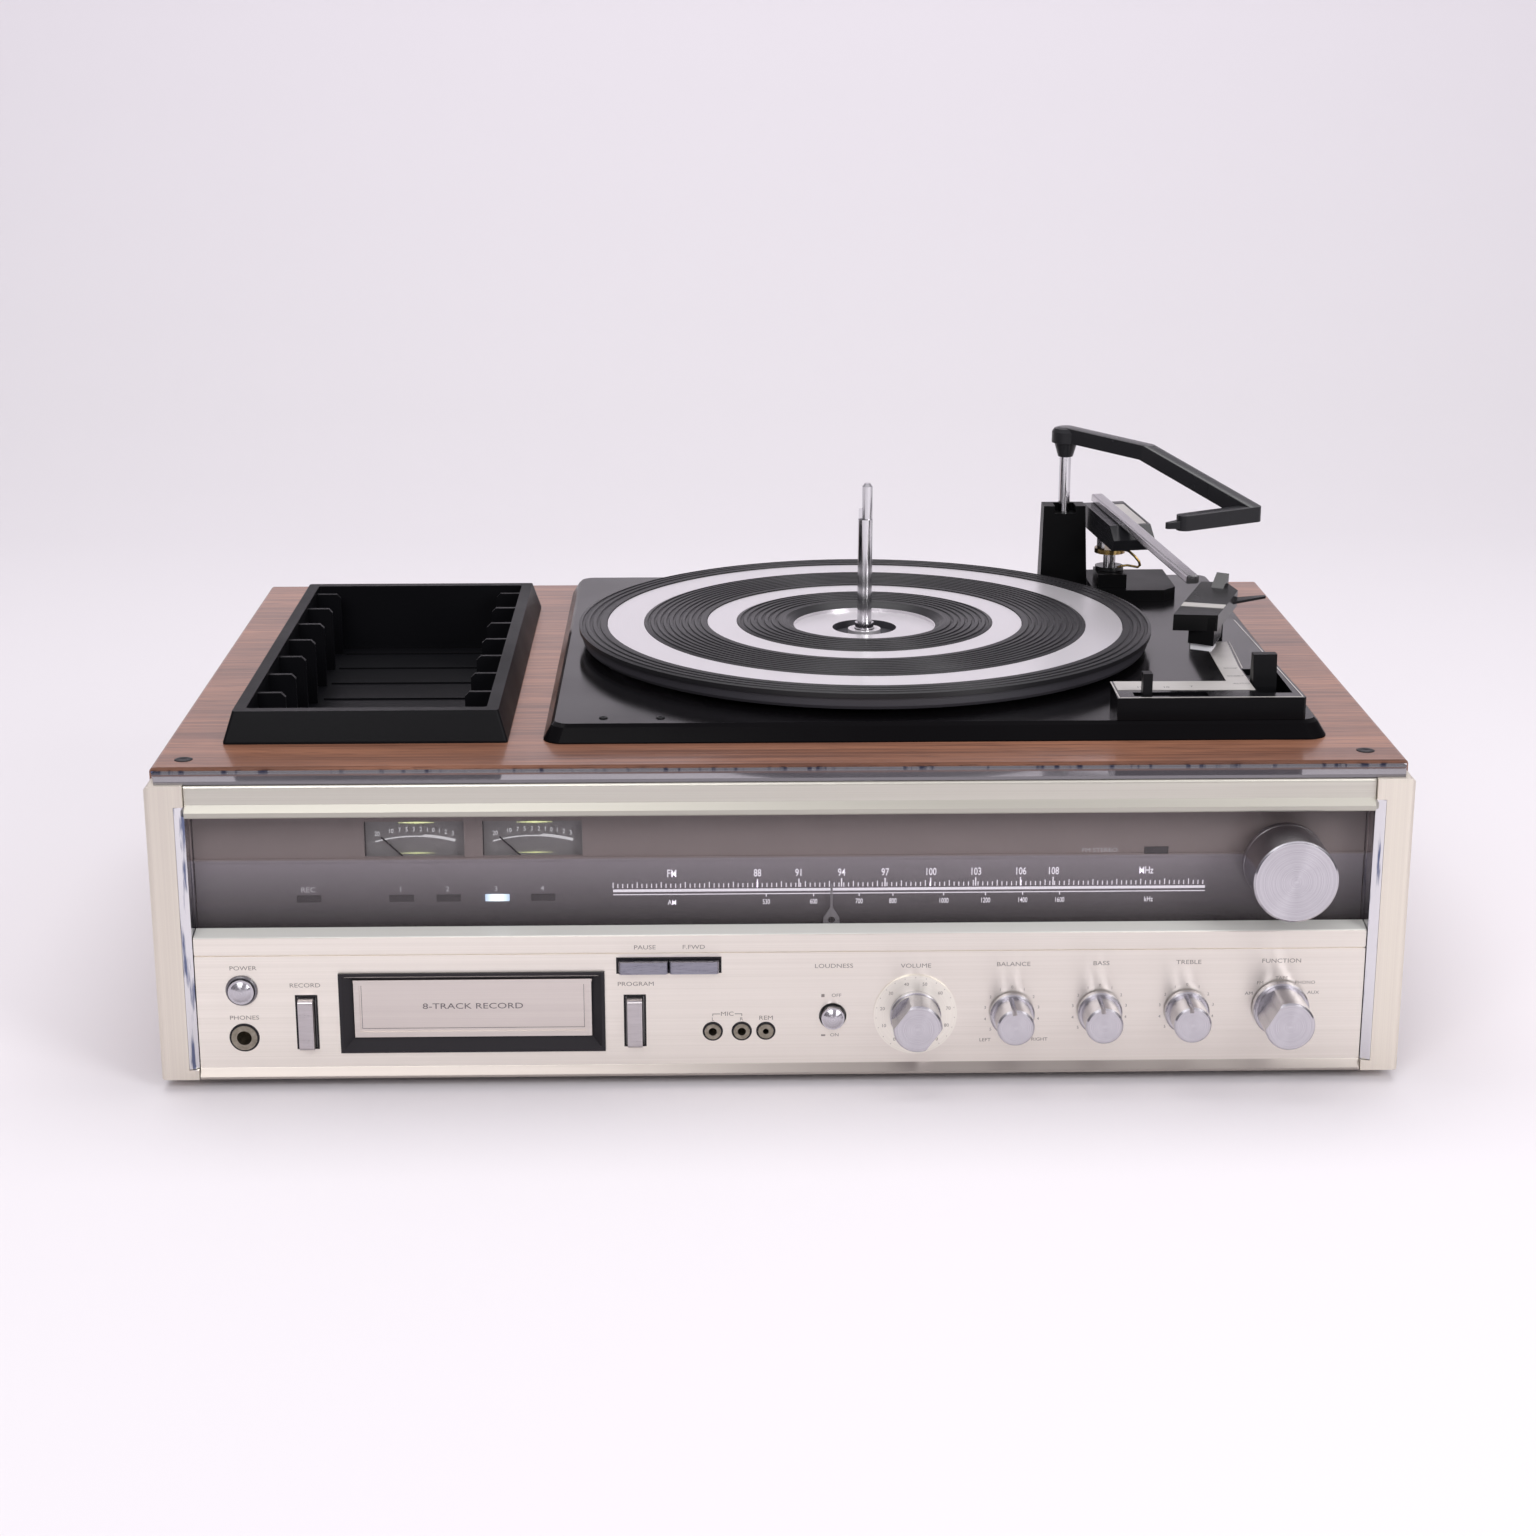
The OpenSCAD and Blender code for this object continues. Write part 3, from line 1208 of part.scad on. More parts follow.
housing_x = [-8, 14];
housing_top = 6.8;
tube_from = 24;
tube_to = -124;

// Housing over the hinge, with the pin through it and a plate let into its top
module arm_housing() color("black") at_base() on_arm() {
    difference() {
        along_x(housing_x[0], housing_x[1]) polygon([
            [21, -5], [24, 3], [22.6, housing_top], [-22, housing_top], [-30, 1], [-28, -5],
        ]);
        along_x(housing_x[0] + 1.4, housing_x[1] - 1.4) polygon([
            [17, -6], [17, housing_top - 2], [-21, housing_top - 2], [-24, -6],
        ]);
        block([4.6, -20, housing_top - 0.6], [housing_x[1] - 1, 18, housing_top + 1]);
    }
    bar_x(0, 0, housing_x[0] + 0.4, housing_x[1] - 0.4, 1.5);
}

// Flat metal tube of the arm
module tonearm() color("silver") at_base() on_arm() along_y(tube_to, tube_from)
    round_rect([-tube_w / 2, housing_top], [tube_w / 2, housing_top + tube_h], 1);

head_off = 14.2;
head_angle = 33;
head_high = 9;
head_front = [-13.4, -4];
head_w = 19.4;
head_side = 45;

// Places a piece of the head: its origin over the stylus, Y back along the headshell
module in_head() on_arm() translate([-head_off, -arm_l, 0]) rotate([0, 0, -head_angle]) children();

// Plan of the headshell grown by a margin
module head_plan(grow) polygon([
    [head_front[0] - grow, head_front[1] - grow], [head_front[0] + head_w + grow, head_front[1] + 7 - grow],
    [head_front[0] + head_w + grow, head_side + grow / 2], [head_front[0] + 11.4, head_side + 11 + grow],
    [head_front[0] - grow, head_side + 7 + grow],
]);

// Headshell with its finger lift and lever, the cartridge in it and the stylus guard
module headshell() color("dimgray") at_base() {
    difference() {
        in_head() difference() {
            union() {
                translate([0, 0, head_low]) linear_extrude(head_high - head_low) head_plan(0);
                translate([0, 0, 4.6]) linear_extrude(1.2) polygon([
                    [5, 35], [5, 44], [17.4, 53.6], [18.2, 52],
                ]);
                translate([0, 0, head_high - 1]) along_x(-7, -1) polygon([[42, 0], [56, 5.4], [56, 0]]);
            }
            translate([0, 0, -1]) linear_extrude(head_high - 0.4) intersection() {
                head_plan(-1.4);
                translate([-20, -10]) square([40, 38]);
            }
        }
        on_arm() block([-tube_w / 2 - 0.1, tube_to - 0.1, housing_top - 0.1],
                       [tube_w / 2 + 0.1, tube_from, housing_top + tube_h + 2]);
    }
    in_head() {
        block([-7, 1.4, -5.8], [5, 18, head_high - 1.4]);
        block([-6, 3, -9], [4, 4.4, -5.8]);
        block([-6, 3, -9], [4, 12, -8]);
    }
}

cabinet();
bottom_pan();
back_panel();
terminal_plate();
rear_fittings();
feet();
end_caps();
bright_strips();
trim_bar();
top_ledge();
dial_window();
dial_plate();
dial_lamps();
level_meters();
left_needle();
right_needle();
dial_pointer();
lower_panel();
cartridge_bezel();
cartridge_door();
cartridge_guide();
capstan();
tape_head();
tape_motor();
power_button();
record_key();
pause_key();
forward_key();
program_key();
loudness_button();
front_jacks();
volume_scale();
volume_knob();
balance_knob();
bass_knob();
treble_knob();
function_knob();
tuning_knob();
control_bodies();
circuit_board();
power_transformer();
cartridge_tray();
deck();
platter_motor();
motor_pulley();
idler_wheel();
platter();
record_mat();
spindle();
control_cover();
size_lever();
play_lever();
holder_tower();
holder_post();
record_holder();
arm_base();
arm_yoke();
tonearm();
headshell();
arm_housing();
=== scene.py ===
# %% [markdown]
# # A compact stereo with a record changer
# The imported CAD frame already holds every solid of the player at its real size: the
# cabinet, the front, the knobs, the changer and the tonearm. What is left for Blender is
# what a CAD solid can't carry: finishes, printed scales, glowing lamps and small trim.
# The script loads the frame, builds the shared surface effects, dresses each group of
# solids, adds the printed pieces and ends with the studio and the camera.

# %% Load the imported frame
import math

import bmesh
import bpy
from mathutils import Matrix, Vector


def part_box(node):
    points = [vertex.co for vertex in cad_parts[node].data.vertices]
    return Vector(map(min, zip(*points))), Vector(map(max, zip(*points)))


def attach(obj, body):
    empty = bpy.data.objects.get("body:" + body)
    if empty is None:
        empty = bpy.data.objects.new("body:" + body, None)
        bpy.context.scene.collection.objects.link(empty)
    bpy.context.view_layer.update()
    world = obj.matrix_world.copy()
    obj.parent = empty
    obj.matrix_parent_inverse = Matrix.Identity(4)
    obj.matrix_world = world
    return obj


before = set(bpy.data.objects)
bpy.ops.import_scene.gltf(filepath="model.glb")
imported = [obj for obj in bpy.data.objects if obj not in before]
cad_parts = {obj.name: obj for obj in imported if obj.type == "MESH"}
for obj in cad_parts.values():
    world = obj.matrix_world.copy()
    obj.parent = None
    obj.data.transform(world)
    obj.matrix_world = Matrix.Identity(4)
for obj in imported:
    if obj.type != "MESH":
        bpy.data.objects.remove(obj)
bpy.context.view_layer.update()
print("solids in the frame:", len(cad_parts))

# %% [markdown]
# ## One set of measures for everything
# The front of the player is measured in millimetres from the bottom of its end caps: x
# from the middle, y backwards from the caps' face, z up from the cabinet's edge. The
# printed pieces have to land on the solids, so their places are written in the same
# measures and turned into metres by one function, which reads the corner off the frame.

# %% Places in millimetres
corner_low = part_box("end_caps")[0]


def at(x, y, z):
    return Vector((x / 1000, corner_low.y + y / 1000, corner_low.z + z / 1000))


def shade(red, green, blue):
    """A colour as it looks on a screen, from 0 to 255, as Blender's linear colour."""
    return tuple(((v / 255 + 0.055) / 1.055) ** 2.4 if v > 10 else v / 3294.6 for v in (red, green, blue))


print("front corner of the caps:", at(0, 0, 0))

# %% [markdown]
# ## How the effects are built
# Brushed metal, spun metal, veneer and dust each show on more than one piece. A shader
# node group keeps such an effect in one place: the group has named inputs, and every
# material that uses it sets its own values. The groups below put out colours, masks and
# heights only. The shader itself stays in the material.

# %% Helpers for node groups and materials


def start_group(name, inputs, outputs):
    tree = bpy.data.node_groups.new(name, "ShaderNodeTree")
    for label, kind, value in inputs:
        socket = tree.interface.new_socket(label, in_out="INPUT", socket_type="NodeSocket" + kind)
        socket.default_value = value
    for label, kind in outputs:
        tree.interface.new_socket(label, in_out="OUTPUT", socket_type="NodeSocket" + kind)
    return tree, tree.nodes.new("NodeGroupInput"), tree.nodes.new("NodeGroupOutput")


def node(tree, kind, links=None, **values):
    """Adds a node. links maps an input to the socket that feeds it, values sets properties."""
    made = tree.nodes.new("ShaderNode" + kind)
    for key, value in values.items():
        setattr(made, key, value)
    for key, value in (links or {}).items():
        socket = made.inputs[key]
        if isinstance(value, bpy.types.NodeSocket):
            tree.links.new(value, socket)
        else:
            socket.default_value = value
    return made


def maths(tree, operation, first, second=0.0):
    return node(tree, "Math", {0: first, 1: second}, operation=operation).outputs[0]


def blend_colour(tree, factor, first, second):
    mix = node(tree, "Mix", data_type="RGBA")
    for index, value in ((0, factor), (6, first), (7, second)):
        if isinstance(value, bpy.types.NodeSocket):
            tree.links.new(value, mix.inputs[index])
        else:
            mix.inputs[index].default_value = value if index == 0 else (*value[:3], 1)
    return mix.outputs[2]


def stretched(tree, scale):
    """Coordinates of the surface, stretched so that a noise turns into lines."""
    coord = node(tree, "TexCoord").outputs["Object"]
    return node(tree, "Mapping", {"Vector": coord, "Scale": scale}).outputs[0]


def step(tree, value, low, high):
    """A ramp from 0 at low to 1 at high."""
    ramp = node(tree, "MapRange", {"Value": value, "From Min": low, "From Max": high})
    return ramp.outputs[0]


def noise_of(tree, vector, detail=2.0, scale=1.0):
    return node(tree, "TexNoise", {"Vector": vector, "Scale": scale, "Detail": detail}).outputs[0]


def height_above_ground(tree):
    place = node(tree, "TexCoord").outputs["Object"]
    return node(tree, "SeparateXYZ", {0: place}).outputs[2]


# %% [markdown]
# ## Brushed lines
# The trim bar and the lower panel are aluminium brushed sideways, the end caps upright. The
# brush leaves very long, very thin lines. A noise that is stretched along one axis does
# the same. Two noises, one fine and one coarse, avoid an even comb. Stretch says how
# often the noise repeats in a metre along each axis: few times along the brush, and
# thousands of times across it.

# %% Group: brushed lines
brushed, start, end = start_group(
    "brushed_lines", [("Stretch", "Vector", (6, 2400, 2400))], [("Lines", "Float"), ("Cloud", "Float")])
place = node(brushed, "TexCoord").outputs["Object"]
drawn = node(brushed, "VectorMath", {0: place, 1: start.outputs["Stretch"]},
             operation="MULTIPLY").outputs[0]
fine = noise_of(brushed, drawn, 2.0, 1.0)
coarse = noise_of(brushed, drawn, 3.0, 0.28)
cloud = noise_of(brushed, place, 3.0, 9.0)
half_fine = maths(brushed, "MULTIPLY", fine, 0.5)
half_coarse = maths(brushed, "MULTIPLY", coarse, 0.5)
brushed.links.new(maths(brushed, "ADD", half_fine, half_coarse), end.inputs["Lines"])
brushed.links.new(cloud, end.inputs["Cloud"])
print("group made:", brushed.name)

# %% [markdown]
# ## Spun rings
# Knob faces and the bright rings of the platter are turned on a lathe, which leaves
# circles round the axis. The group measures the distance from that axis and runs a
# one-way noise over it. The fan of light that such a face shows isn't painted: it comes
# from the shader's anisotropy, with a tangent that runs round the axis.

# %% Group: spun rings
spun, start, end = start_group(
    "spun_rings", [("Centre", "Vector", (0, 0, 0)), ("Plane", "Vector", (1, 0, 1)),
                   ("Rings", "Float", 2500.0)],
    [("Rings", "Float"), ("Radius", "Float")])
place = node(spun, "TexCoord").outputs["Object"]
apart = node(spun, "VectorMath", {0: place, 1: start.outputs["Centre"]}, operation="SUBTRACT").outputs[0]
flat = node(spun, "VectorMath", {0: apart, 1: start.outputs["Plane"]}, operation="MULTIPLY").outputs[0]
radius = node(spun, "VectorMath", {0: flat}, operation="LENGTH").outputs["Value"]
ring = node(spun, "TexNoise", {"W": maths(spun, "MULTIPLY", radius, start.outputs["Rings"]), "Scale": 1.0,
                               "Detail": 2.0},
            noise_dimensions="1D").outputs[0]
spun.links.new(ring, end.inputs["Rings"])
spun.links.new(radius, end.inputs["Radius"])
print("group made:", spun.name)

# %% [markdown]
# ## Walnut veneer
# The cabinet wears a printed walnut foil. Its grain runs from side to side on the top and
# from front to back on the two sides, so the group swaps the coordinates where the
# surface faces sideways. Broad bands carry the growth rings, a stretched noise the
# streaks, and a much finer one the dark pores.

# %% Group: walnut veneer
veneer, start, end = start_group(
    "walnut_veneer", [("Light", "Color", (0.4, 0.2, 0.1, 1)), ("Dark", "Color", (0.1, 0.05, 0.03, 1)),
                      ("Size", "Float", 1.0)],
    [("Color", "Color"), ("Pores", "Float")])
coords = node(veneer, "TexCoord")
facing = node(veneer, "SeparateXYZ", {0: coords.outputs["Normal"]}).outputs[0]
sideways = maths(veneer, "GREATER_THAN", maths(veneer, "ABSOLUTE", facing), 0.5)
split = node(veneer, "SeparateXYZ", {0: coords.outputs["Object"]})
turned = node(veneer, "CombineXYZ", {0: split.outputs[1], 1: split.outputs[2],
                                     2: split.outputs[0]}).outputs[0]
along = node(veneer, "Mix", {0: sideways, 4: coords.outputs["Object"], 5: turned},
             data_type="VECTOR").outputs[1]
sized = node(veneer, "VectorMath", {0: along, "Scale": start.outputs["Size"]},
             operation="SCALE").outputs[0]
long_way = node(veneer, "Mapping", {"Vector": sized, "Scale": (2.2, 30, 30)}).outputs[0]
bands = node(veneer, "TexNoise", {"Vector": long_way, "Scale": 1.3, "Detail": 5.0, "Roughness": 0.55,
                                  "Distortion": 0.5}).outputs[0]
streak_way = node(veneer, "Mapping", {"Vector": sized, "Scale": (9, 420, 420)}).outputs[0]
streaks = noise_of(veneer, streak_way, 3.0, 1.0)
pore_way = node(veneer, "Mapping", {"Vector": sized, "Scale": (55, 1500, 1500)}).outputs[0]
pores = noise_of(veneer, pore_way, 1.0, 1.0)
dark_pores = step(veneer, pores, 0.56, 0.68)
tone = maths(veneer, "ADD", maths(veneer, "MULTIPLY", step(veneer, bands, 0.34, 0.66), 0.55),
             maths(veneer, "MULTIPLY", step(veneer, streaks, 0.38, 0.62), 0.45))
wood = blend_colour(veneer, tone, start.outputs["Dark"], start.outputs["Light"])
pored = blend_colour(veneer, maths(veneer, "MULTIPLY", dark_pores, 0.7), wood, start.outputs["Dark"])
veneer.links.new(pored, end.inputs["Color"])
veneer.links.new(dark_pores, end.inputs["Pores"])
print("group made:", veneer.name)

# %% [markdown]
# ## Dust and handling
# Black plastic and black paint never look one even black: dust settles on what faces up,
# and hands leave duller clouds. The group gives a mask for the dust and a cloud for the
# roughness, so each black material can take as much of either as it needs.

# %% Group: dust and handling
dusty, start, end = start_group(
    "dust_and_handling", [("Specks", "Float", 700.0)],
    [("Dust", "Float"), ("Cloud", "Float"), ("Texture", "Float"), ("Up", "Float")])
coords = node(dusty, "TexCoord")
up = step(dusty, node(dusty, "SeparateXYZ", {0: coords.outputs["Normal"]}).outputs[2], 0.7, 0.95)
specks = noise_of(dusty, coords.outputs["Object"], 2.0, start.outputs["Specks"])
clouds = noise_of(dusty, coords.outputs["Object"], 4.0, 14.0)
dust = maths(dusty, "MULTIPLY", up, maths(dusty, "MULTIPLY", step(dusty, specks, 0.55, 0.8),
                                          step(dusty, clouds, 0.35, 0.75)))
dusty.links.new(dust, end.inputs["Dust"])
dusty.links.new(up, end.inputs["Up"])
dusty.links.new(clouds, end.inputs["Cloud"])
dusty.links.new(specks, end.inputs["Texture"])
print("node groups:", [g.name for g in bpy.data.node_groups])

# %% [markdown]
# ## Materials from the groups
# Each family of finishes gets a small function. The function makes one material, places
# the group in it and sets the shader's own sockets, so that a metal cap and a metal panel
# can share the brush and still differ in tint.

# %% Helpers for materials


def start_material(name, **sockets):
    made = bpy.data.materials.new(name)
    made.use_nodes = True
    shader = made.node_tree.nodes["Principled BSDF"]
    for key, value in sockets.items():
        is_colour = isinstance(value, tuple)
        shader.inputs[key.replace("_", " ")].default_value = (*value, 1) if is_colour else value
    return made, made.node_tree, shader


def place_group(tree, group, **values):
    made = tree.nodes.new("ShaderNodeGroup")
    made.node_tree = group
    for key, value in values.items():
        made.inputs[key].default_value = value
    return made


def bump(tree, shader, height, distance):
    made = node(tree, "Bump", {"Height": height, "Distance": distance, "Strength": 1.0})
    tree.links.new(made.outputs[0], shader.inputs["Normal"])


def paint(tree, shader, factor, first, second):
    tree.links.new(blend_colour(tree, factor, first, second), shader.inputs["Base Color"])


def roughen(tree, shader, value, low, high):
    """Lets the roughness run from low to high as the value runs from 0 to 1."""
    ruff = node(tree, "MapRange", {"Value": value, "To Min": low, "To Max": high}).outputs[0]
    tree.links.new(ruff, shader.inputs["Roughness"])


def run_round(tree, shader, axis):
    """Turns the tangent round an axis, so that anisotropy follows the turning marks."""
    tangent = node(tree, "Tangent", direction_type="RADIAL", axis=axis)
    tree.links.new(tangent.outputs[0], shader.inputs["Tangent"])


def painted_colour(material):
    """The tree, the shader and the socket that colours a material so far."""
    tree = material.node_tree
    shader = tree.nodes["Principled BSDF"]
    return tree, shader, shader.inputs["Base Color"].links[0].from_socket


def brushed_metal(name, light, dark, rough=0.34, stretch=(6, 2400, 2400), spread=0.0, depth=0.000003):
    """spread pulls the reflections out across the brush, as they are above the knobs."""
    made, tree, shader = start_material(name, Metallic=0.95, Anisotropic=spread,
                                        Anisotropic_Rotation=0.25)
    if spread:
        run_round(tree, shader, "Z")
    lines = place_group(tree, brushed, Stretch=stretch)
    even = step(tree, lines.outputs["Lines"], 0.36, 0.64)
    soft = blend_colour(tree, even, dark, light)
    clouded = maths(tree, "MULTIPLY", step(tree, lines.outputs["Cloud"], 0.35, 0.75), 0.25)
    paint(tree, shader, clouded, soft, light)
    roughen(tree, shader, lines.outputs["Lines"], rough - 0.06, rough + 0.1)
    bump(tree, shader, lines.outputs["Lines"], depth)
    return made


def spun_metal(name, centre, plane, axis, light, dark, rough=0.28, rings=2500.0, fan=0.75, depth=0.00001):
    made, tree, shader = start_material(name, Metallic=1.0, Anisotropic=fan, Anisotropic_Rotation=0.25)
    turned_rings = place_group(tree, spun, Centre=centre, Plane=plane, Rings=rings)
    paint(tree, shader, step(tree, turned_rings.outputs["Rings"], 0.35, 0.65), dark, light)
    roughen(tree, shader, turned_rings.outputs["Rings"], rough - 0.05, rough + 0.08)
    run_round(tree, shader, axis)
    bump(tree, shader, turned_rings.outputs["Rings"], depth)
    return made


def black_finish(name, base, dust_tint, rough, dust_share=0.1, texture=0.00003, specks=700.0, coat=0.0,
                 shine=0.1, top_shine=None):
    """shine is low, so that black walls hardly mirror the floor; top_shine is for what faces up."""
    made, tree, shader = start_material(name, Coat_Weight=coat, Coat_Roughness=0.06,
                                        Specular_IOR_Level=shine)
    marks = place_group(tree, dusty, Specks=specks)
    if top_shine is not None:
        level = node(tree, "MapRange", {"Value": marks.outputs["Up"], "To Min": shine,
                                        "To Max": top_shine}).outputs[0]
        tree.links.new(level, shader.inputs["Specular IOR Level"])
    paint(tree, shader, maths(tree, "MULTIPLY", marks.outputs["Dust"], dust_share), base, dust_tint)
    ruff = node(tree, "MapRange", {"Value": marks.outputs["Cloud"], "From Min": 0.3, "From Max": 0.7,
                                   "To Min": rough - 0.06, "To Max": rough + 0.08}).outputs[0]
    tree.links.new(ruff, shader.inputs["Roughness"])
    if texture:
        bump(tree, shader, marks.outputs["Texture"], texture)
    return made


HAND_DUST = shade(90, 88, 90)


def wear(name, *nodes):
    """Gives the carried-over CAD nodes a finish."""
    for one in nodes:
        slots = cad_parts[one].material_slots
        for index in range(len(slots)):
            slots[index].material = name


# %% [markdown]
# ## The walnut cabinet
# The top shows a warm brown with a fine straight grain and a low satin shine, paler where
# the light grazes it. Real veneer could be photographed, but a printed foil is regular
# enough for the veneer group. Its coat stands for the thin vinyl.

# %% Cabinet
walnut, tree, shader = start_material("walnut_foil", Roughness=0.42, Coat_Weight=0.55,
                                      Coat_Roughness=0.16)
grain = place_group(tree, veneer, Light=(*shade(160, 109, 83), 1), Dark=(*shade(92, 56, 42), 1))
tree.links.new(grain.outputs["Color"], shader.inputs["Base Color"])
bump(tree, shader, grain.outputs["Pores"], -0.00003)
wear(walnut, "cabinet")

board, tree, shader = start_material("raw_hardboard", Roughness=0.8)
fibres = noise_of(tree, stretched(tree, (260, 260, 260)), 5.0)
paint(tree, shader, step(tree, fibres, 0.3, 0.7), shade(74, 54, 38), shade(104, 78, 56))
bump(tree, shader, fibres, 0.0001)
wear(board, "back_panel")
print("cabinet dressed:", walnut.name, board.name)

# %% [markdown]
# ## Champagne aluminium
# The caps, the trim bar and the panel are the same pale champagne metal. The caps are
# brushed too, but their front catches the light more evenly. The bright strips let into
# them are chromed, with dark bluish streaks of painted reflection, and the ledge over the
# trim is polished black, with a grey base colour that paints in its sheen. A mask by height
# paints the panel's sill paler and less metallic, a painted highlight, and paints the two
# lower lips darker, painted shade where they mirror the white floor.

# %% Front frame
champagne = brushed_metal("champagne_panel", shade(243, 236, 228), shade(235, 228, 219), rough=0.34,
                          spread=0.8)
trim_metal = brushed_metal("champagne_trim", shade(212, 209, 199), shade(202, 198, 188), rough=0.36,
                           spread=0.4)
cap_metal = brushed_metal("champagne_caps", shade(232, 225, 213), shade(224, 216, 205), rough=0.45,
                          stretch=(2400, 2400, 6))
wear(champagne, "lower_panel")
tree, shader, brushed_colour = painted_colour(champagne)
height = height_above_ground(tree)
# The sill is painted paler and made nearly non-metallic so that it reads brighter: a painted highlight.
sill_painted_light = step(tree, height, at(0, 0, 64.0).z, at(0, 0, 64.2).z)
# The lower lip is painted darker: painted shade, so that it mirrors less of the white floor.
lip_shade_mask = step(tree, height, at(0, 0, 4.7).z, at(0, 0, 4.3).z)
lip_shaded_colour = blend_colour(tree, lip_shade_mask, brushed_colour, shade(172, 164, 158))
paint(tree, shader, sill_painted_light, lip_shaded_colour, shade(238, 238, 232))
tree.links.new(maths(tree, "SUBTRACT", 0.95, maths(tree, "MULTIPLY", sill_painted_light, 0.85)),
               shader.inputs["Metallic"])
wear(trim_metal, "trim_bar")
tree, shader, brushed_colour = painted_colour(trim_metal)
# The trim's lower lip is painted darker too: painted shade where it mirrors the floor.
lip_shade_mask = step(tree, height_above_ground(tree), at(0, 0, 124.6).z, at(0, 0, 124.2).z)
paint(tree, shader, lip_shade_mask, brushed_colour, shade(190, 187, 177))
wear(cap_metal, "end_caps")

chrome, tree, shader = start_material("bright_chrome", Metallic=1.0)
smears_and_reflection_streaks = noise_of(tree, stretched(tree, (60, 60, 22)), 5.0)
paint(tree, shader, step(tree, smears_and_reflection_streaks, 0.55, 0.75), shade(212, 211, 214), shade(160, 160, 168))
roughen(tree, shader, smears_and_reflection_streaks, 0.05, 0.22)
wear(chrome, "spindle", "holder_post", "capstan")

# The strips' dark bluish streaks are painted reflection of the surroundings; the bump stays a fine
# texture.
strip_chrome, tree, shader = start_material("strip_chrome", Metallic=1.0, Roughness=0.12)
smears_and_reflection_streaks = noise_of(tree, stretched(tree, (300, 300, 30)), 5.0)
paint(tree, shader, step(tree, smears_and_reflection_streaks, 0.56, 0.64), shade(222, 221, 224), shade(104, 112, 140))
bump(tree, shader, smears_and_reflection_streaks, 0.00004)
wear(strip_chrome, "bright_strips")

# The polished black has a grey base colour: a painted sheen that adds to the brightness of its
# reflections.
black_with_painted_sheen = black_finish("polished_black_painted_sheen", shade(88, 84, 90), HAND_DUST, 0.12, 0.06, 0, coat=1.0,
                           shine=1.0)
lever_black = black_finish("lever_black", shade(18, 18, 20), HAND_DUST, 0.34, 0.05, 0, shine=0.12)
wear(black_with_painted_sheen, "top_ledge")
wear(lever_black, "size_lever", "play_lever")
print("front frame dressed:", champagne.name, trim_metal.name, cap_metal.name)

# %% [markdown]
# ## The smoked window and the dial behind it
# The window is one sheet of smoked acrylic over the whole upper front. It is modelled as
# a thin, dark, glossy sheet that lets part of the light through, because a real glass
# shader would shut out the soft light that has to reach the dial. The dial plate behind
# it has a lighter field above the ridge and a darker one below it.

# %% Window and dial plate
smoke, tree, shader = start_material("smoked_acrylic", Alpha=0.34, IOR=1.49)
haze = noise_of(tree, stretched(tree, (5, 5, 14)), 4.0)
paint(tree, shader, step(tree, haze, 0.3, 0.7), shade(62, 56, 58), shade(74, 68, 70))
roughen(tree, shader, haze, 0.03, 0.12)
smoke.surface_render_method = "BLENDED"
wear(smoke, "dial_window")

dial, tree, shader = start_material("dial_field", Roughness=0.55)
height = height_above_ground(tree)
upper = step(tree, height, at(0, 0, 94.6).z, at(0, 0, 95.2).z)
grain_noise = noise_of(tree, stretched(tree, (60, 60, 60)), 3.0)
climb = step(tree, height, at(0, 0, 66).z, at(0, 0, 94).z)
low_field = blend_colour(tree, climb, shade(72, 68, 71), shade(236, 226, 236))
high_field = blend_colour(tree, grain_noise, shade(216, 198, 196), shade(226, 208, 206))
paint(tree, shader, upper, low_field, high_field)
roughen(tree, shader, grain_noise, 0.5, 0.62)
wear(dial, "dial_plate")
print("window and dial plate dressed:", smoke.name, dial.name)

# %% [markdown]
# ## Lamps
# Only the third programme lamp is lit. All the lenses are one solid, so the material
# lights the one that stands at the third place and leaves the others dark.

# %% Lamps
LIT_LAMP = -0.1232
HALF_LAMP = 0.006
lens, tree, shader = start_material("lamp_lens", Roughness=0.25, Emission_Strength=3.2)
sideways = node(tree, "SeparateXYZ", {0: node(tree, "TexCoord").outputs["Object"]}).outputs[0]
nearness = maths(tree, "ABSOLUTE", maths(tree, "SUBTRACT", sideways, LIT_LAMP))
lit = maths(tree, "LESS_THAN", nearness, HALF_LAMP)
middle = step(tree, nearness, 0.0055, 0.001)
grain_noise = noise_of(tree, stretched(tree, (700, 700, 700)))
dark_lens = blend_colour(tree, grain_noise, shade(96, 91, 96), shade(106, 102, 106))
paint(tree, shader, lit, dark_lens, shade(225, 235, 250))
glow = blend_colour(tree, middle, (0.22, 0.3, 0.42), (0.8, 0.93, 1.0))
tree.links.new(blend_colour(tree, lit, (0, 0, 0), glow), shader.inputs["Emission Color"])
wear(lens, "dial_lamps")

case_black = black_finish("meter_case", shade(52, 50, 54), shade(110, 108, 110), 0.5)
wear(case_black, "level_meters", "left_needle", "right_needle")

pointer_white, tree, shader = start_material("pointer_white", Roughness=0.4)
noise = noise_of(tree, stretched(tree, (300, 300, 300)))
paint(tree, shader, noise, shade(196, 192, 198), shade(224, 220, 226))
wear(pointer_white, "dial_pointer")
print("dial dressed")

# %% [markdown]
# ## Turned knobs
# Every knob is turned from aluminium: the grip is bright, and the face has fine circles
# that throw a fan of light. Each knob needs its own centre, because the rings run round
# its own axis, so the material is made once for each.

